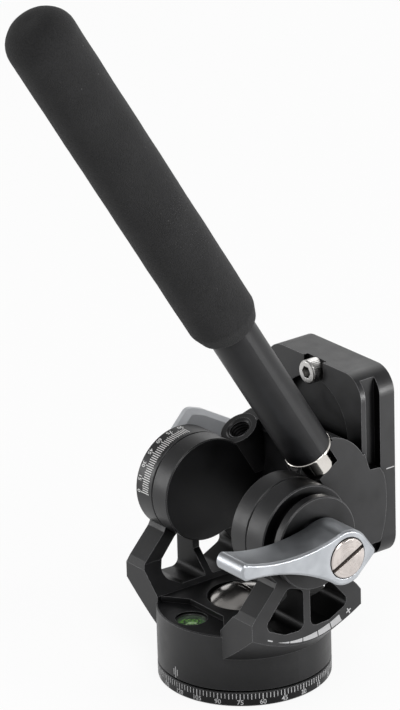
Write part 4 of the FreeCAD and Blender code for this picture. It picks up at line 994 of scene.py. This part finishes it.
def make_stop_screw():
    """Socket cap screw: a finely ridged head with a six-sided socket."""
    lowest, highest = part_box("stop_screw")
    middle = (lowest + highest) / 2
    place = axis_place((middle.x, highest.y, middle.z), (0, -1, 0), (1, 0, 0))
    low, high, wide = reach_in("stop_screw", place)
    head = high - CAP_HEAD_HEIGHT
    profile = eased([
        (0, low, 0), (CAP_SHANK, low, 0), (CAP_SHANK, head, 0), (wide, head, 0.2 * MM),
        (wide, high - 0.5 * MM, 0.1 * MM), (wide - 0.45 * MM, high, 0.2 * MM), (0, high, 0),
    ], steps=3)
    swell = knurl(CAP_RIDGES, CAP_RIDGE_DEPTH, head + 0.1 * MM, high - 0.55 * MM)
    turned = lathe(profile, place, CAP_RIDGES * STEPS_PER_RIDGE, swell)
    screw = new_piece("cap_screw", turned, "tilt_body", STEEL, TURNED_ANGLE)
    cut_out(screw, tool_prism(place, SOCKET_RADIUS, high - SOCKET_DEPTH, high + 1 * MM, sides=6), STEEL)
    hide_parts("stop_screw")


DOME_BASE = 26.7 * MM
DOME_RADIUS = 12.0 * MM
DOME_STEPS = 24
COIN_SLOT_WIDTH = 1.6 * MM
COIN_SLOT_DEPTH = 1.6 * MM


def make_centre_cap():
    """Polished domed cap with a coin slot, set in the middle of the yoke."""
    low, high, wide = reach_in("centre_cap", PAN)
    rise = high - DOME_BASE
    ball = (DOME_RADIUS * DOME_RADIUS + rise * rise) / (2 * rise)
    profile = [(0, low), (wide, low), (wide, DOME_BASE - 0.15 * MM), (wide - 0.2 * MM, DOME_BASE)]
    profile += [(DOME_RADIUS, DOME_BASE), (DOME_RADIUS, DOME_BASE + 0.05 * MM)]
    widest = math.asin(DOME_RADIUS / ball)
    for step in range(1, DOME_STEPS + 1):
        angle = widest * (1 - step / DOME_STEPS)
        profile.append((ball * math.sin(angle), high - ball * (1 - math.cos(angle))))
    turned = lathe(profile, PAN, steps=128)
    cap = new_piece("domed_cap", turned, "pan_body", POLISHED, TURNED_ANGLE)
    slot = (2 * DOME_RADIUS, COIN_SLOT_WIDTH, 2 * COIN_SLOT_DEPTH)
    cut_out(cap, tool_block(Matrix.Translation((0, 0, high)), slot), POLISHED)
    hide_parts("centre_cap")


CAMERA_BOLT_HEAD = 2.8 * MM
CAMERA_BOLT_SHANK = 2.55 * MM
CAMERA_THREAD_LENGTH = 4.3 * MM
CAMERA_THREAD_PITCH = 1.27 * MM


def make_camera_screw():
    """Camera screw: a wide head, a slim shank and a real thread."""
    low, high, wide = reach_in("camera_screw", CAMERA_SCREW)
    shank, head = CAMERA_BOLT_SHANK, low + CAMERA_BOLT_HEAD
    body = lathe(eased([
        (0, low, 0), (wide, low, 0.2 * MM), (wide, head, 0.15 * MM), (shank, head, 0),
        (shank, high - 0.3 * MM, 0), (shank - 0.3 * MM, high, 0), (0, high, 0),
    ], steps=3), CAMERA_SCREW, steps=64)
    crest = MOUNTS["camera_thread"]["dims"]["r_mm"] * MM
    thread(body, CAMERA_SCREW, shank - 0.02 * MM, crest, CAMERA_THREAD_PITCH,
           high - CAMERA_THREAD_LENGTH, high - 0.35 * MM)
    screw = new_piece("camera_bolt", body, "camera_screw_body", NICKEL, TURNED_ANGLE)
    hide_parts("camera_screw")


PAD_INNER = 6.0 * MM
PAD_RIBS = 26
PAD_RIB_DEPTH = 0.28 * MM
PAD_EDGE_SLOPE = 12


def make_pads():
    """Ribbed rubber strips on the camera plate."""
    pads = bmesh.new()
    lowest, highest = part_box("plate_pads")
    for side in (-1, 1):
        def corner(u, v, face, side=side):
            across = side * (PAD_INNER + (highest.x - PAD_INNER) * (u if side > 0 else 1 - u))
            up = lowest.z + (highest.z - lowest.z) * v
            wave = 0.5 - 0.5 * math.cos(2 * math.pi * PAD_RIBS * v)
            edge = min(1.0, PAD_EDGE_SLOPE * min(u, 1 - u))
            out = highest.y - PAD_RIB_DEPTH * (1 - wave * edge)
            return Vector((across, out if face else lowest.y, up))
        patch(pads, corner, 16, PAD_RIBS * 8)
    ribbed = new_piece("ribbed_pads", pads, "tilt_body", RUBBER, SOFT_ANGLE)
    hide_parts("plate_pads")


BEZEL_WIDTH = 0.75 * MM
BEZEL_SINK = 0.3 * MM
BEZEL_RISE = 0.12 * MM
CIRCLE_INNER, CIRCLE_OUTER = 2.35 * MM, 2.75 * MM
CIRCLE_SINK, CIRCLE_RISE = 0.02 * MM, 0.03 * MM


def make_vial_rings():
    """The dark bezel of the level and the black circle that frames its bubble."""
    lowest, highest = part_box("level_cup")
    centre = (lowest + highest) / 2
    place = Matrix.Translation((centre.x, centre.y, 0))
    wide = (highest.x - lowest.x) / 2
    outer, inner = wide - 0.02 * MM, wide - BEZEL_WIDTH
    foot, top = highest.z - BEZEL_SINK, highest.z + BEZEL_RISE
    bezel = lathe(eased([
        (inner, foot, 0), (outer, foot, 0), (outer, top, 0.1 * MM), (wide - 0.7 * MM, top, 0.12 * MM),
        (inner, foot, 0),
    ], steps=3), place, steps=72)
    new_piece("vial_bezel", bezel, "pan_body", VIAL)
    lens_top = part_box("level_lens")[1].z
    foot, top = lens_top - CIRCLE_SINK, lens_top + CIRCLE_RISE
    circle = lathe([
        (CIRCLE_INNER, foot), (CIRCLE_INNER, top), (CIRCLE_OUTER, top), (CIRCLE_OUTER, foot),
        (CIRCLE_INNER, foot),
    ], place, steps=64)
    new_piece("vial_circle", circle, "pan_body", KNOB)


make_scale("pan_scale", "base", SHADED_INK, PAN, DRUM_RADIUS, zero=34.05, count=144, ticks=PAN_TICKS,
           figure_height=1.48 * MM, figure_size=2.4 * MM)
make_pan_index()
make_scale("tilt_scale", "pan_body", BRIGHT_INK, TILT, EAR_RADIUS, zero=180.0, count=37,
           ticks=TILT_TICKS, figure_height=-33.35 * MM, figure_size=2.3 * MM)
make_drag_band()
make_platform_line()
make_grip()
make_collar()
make_port_threads()
make_knob("pan_lock_grip", "pan_lock_knob", PAN_LOCK, "pan_lock", ridges=24)
make_knob("clamp_grip", "clamp_knob", CLAMP, "jaw_knob", ridges=20)
make_stop_screw()
make_centre_cap()
make_camera_screw()
make_pads()
make_vial_rings()


# ---------- floor, light and camera
FLOOR_RADIUS = 4.0
FLOOR_DROP = 0.0002
FLOOR_COLOUR = (0.95, 0.95, 0.95, 1.0)
PLAIN_SHARE = 0.9
WHITE = (1.0, 1.0, 1.0, 1.0)
AMBIENT = 0.32
SKY_FADE = (0.34, 0.62)
HIGH_SKY = 0.35


def seen_directly(tree, path):
    """1 for what the camera, gloss and glass see, and 0 for the light that falls on a surface."""
    seen = arithmetic(tree, "MAXIMUM", path.outputs["Is Camera Ray"], path.outputs["Is Glossy Ray"])
    return arithmetic(tree, "MAXIMUM", seen, path.outputs["Is Transmission Ray"])


def make_floor():
    """A wide disc that is nearly plain white to the eye and still takes the shadow."""
    disc = bmesh.new()
    bmesh.ops.create_circle(disc, cap_ends=True, segments=96, radius=FLOOR_RADIUS)
    floor = plain_object("floor", disc)
    floor.location.z = -FLOOR_DROP
    material = bpy.data.materials.new("floor_white")
    material.use_nodes = True
    tree = material.node_tree
    tree.nodes.remove(tree.nodes["Principled BSDF"])
    lit = add(tree, "BsdfDiffuse", {"Color": FLOOR_COLOUR}).outputs[0]
    plain = add(tree, "Emission", {"Color": WHITE, "Strength": 1.0}).outputs[0]
    share = times(tree, seen_directly(tree, add(tree, "LightPath")), PLAIN_SHARE)
    mixed = add(tree, "MixShader", {0: share, 1: lit, 2: plain}).outputs[0]
    tree.links.new(mixed, tree.nodes["Material Output"].inputs["Surface"])
    floor.data.materials.append(material)


def make_world():
    """White to the camera, soft light on the part, and darker high up where metal mirrors it."""
    world = bpy.data.worlds.new("studio")
    bpy.context.scene.world = world
    world.use_nodes = True
    tree = world.node_tree
    background = tree.nodes["Background"]
    background.inputs["Color"].default_value = WHITE
    path = add(tree, "LightPath")
    seen = seen_directly(tree, path)
    rise = add(tree, "SeparateXYZ", {"Vector": add(tree, "TexCoord").outputs["Generated"]}).outputs["Z"]
    mirrored = spread(tree, rise, *SKY_FADE, 1.0, HIGH_SKY)
    sky = arithmetic(tree, "MAXIMUM", mirrored, path.outputs["Is Camera Ray"])
    lit = times(tree, arithmetic(tree, "SUBTRACT", 1.0, seen), AMBIENT)
    level = arithmetic(tree, "ADD", lit, times(tree, sky, seen))
    tree.links.new(level, background.inputs["Strength"])


def soft_light(name, place, aim_height, size, power):
    """A square lamp that points at a height on the pan axis."""
    lamp = bpy.data.lights.new(name, "AREA")
    lamp.shape = "SQUARE"
    lamp.size = size
    lamp.energy = power
    holder = in_scene(name, lamp)
    holder.location = place
    away = Vector(place) - Vector((0, 0, aim_height))
    holder.rotation_euler = away.to_track_quat("Z", "Y").to_euler()


CAMERA_AZIMUTH = math.radians(53.088)
CAMERA_HEIGHT = math.radians(21.7)
CAMERA_ROLL = math.radians(-1.616)
CAMERA_DISTANCE = 1.6
CAMERA_AIM = Vector((0, 0, 0.070))
CAMERA_SLIDE = (-0.013684, 0.043269)
FRAME_HEIGHT_AT_AIM = 0.24125
SENSOR_HEIGHT = 36.0


def make_camera():
    """A long lens that looks down on the drag lever's side of the part."""
    back = Vector((math.sin(CAMERA_AZIMUTH) * math.cos(CAMERA_HEIGHT),
                   -math.cos(CAMERA_AZIMUTH) * math.cos(CAMERA_HEIGHT), math.sin(CAMERA_HEIGHT)))
    level = Vector((math.cos(CAMERA_AZIMUTH), math.sin(CAMERA_AZIMUTH), 0))
    rise = back.cross(level)
    right = level * math.cos(CAMERA_ROLL) + rise * math.sin(CAMERA_ROLL)
    up = -level * math.sin(CAMERA_ROLL) + rise * math.cos(CAMERA_ROLL)
    place = CAMERA_AIM + right * CAMERA_SLIDE[0] + up * CAMERA_SLIDE[1] + back * CAMERA_DISTANCE
    lens = bpy.data.cameras.new("camera")
    lens.sensor_fit = "VERTICAL"
    lens.sensor_height = SENSOR_HEIGHT
    lens.lens = SENSOR_HEIGHT * CAMERA_DISTANCE / FRAME_HEIGHT_AT_AIM
    lens.clip_start = 0.05
    camera = in_scene("camera", lens)
    camera.matrix_world = place_of(right, up, back, place)
    bpy.context.scene.camera = camera


make_floor()
make_world()
soft_light("key_light", (0.72, -0.36, 1.05), aim_height=0.08, size=0.6, power=7.5)
soft_light("left_light", (-0.80, -0.70, 0.22), aim_height=0.07, size=0.4, power=2.6)
soft_light("side_light", (0.66, 0.44, 0.10), aim_height=0.07, size=0.20, power=3.6)
soft_light("back_light", (-0.6, 1.0, 0.9), aim_height=0.08, size=0.8, power=5.0)
make_camera()
bpy.context.scene.view_settings.view_transform = "Standard"
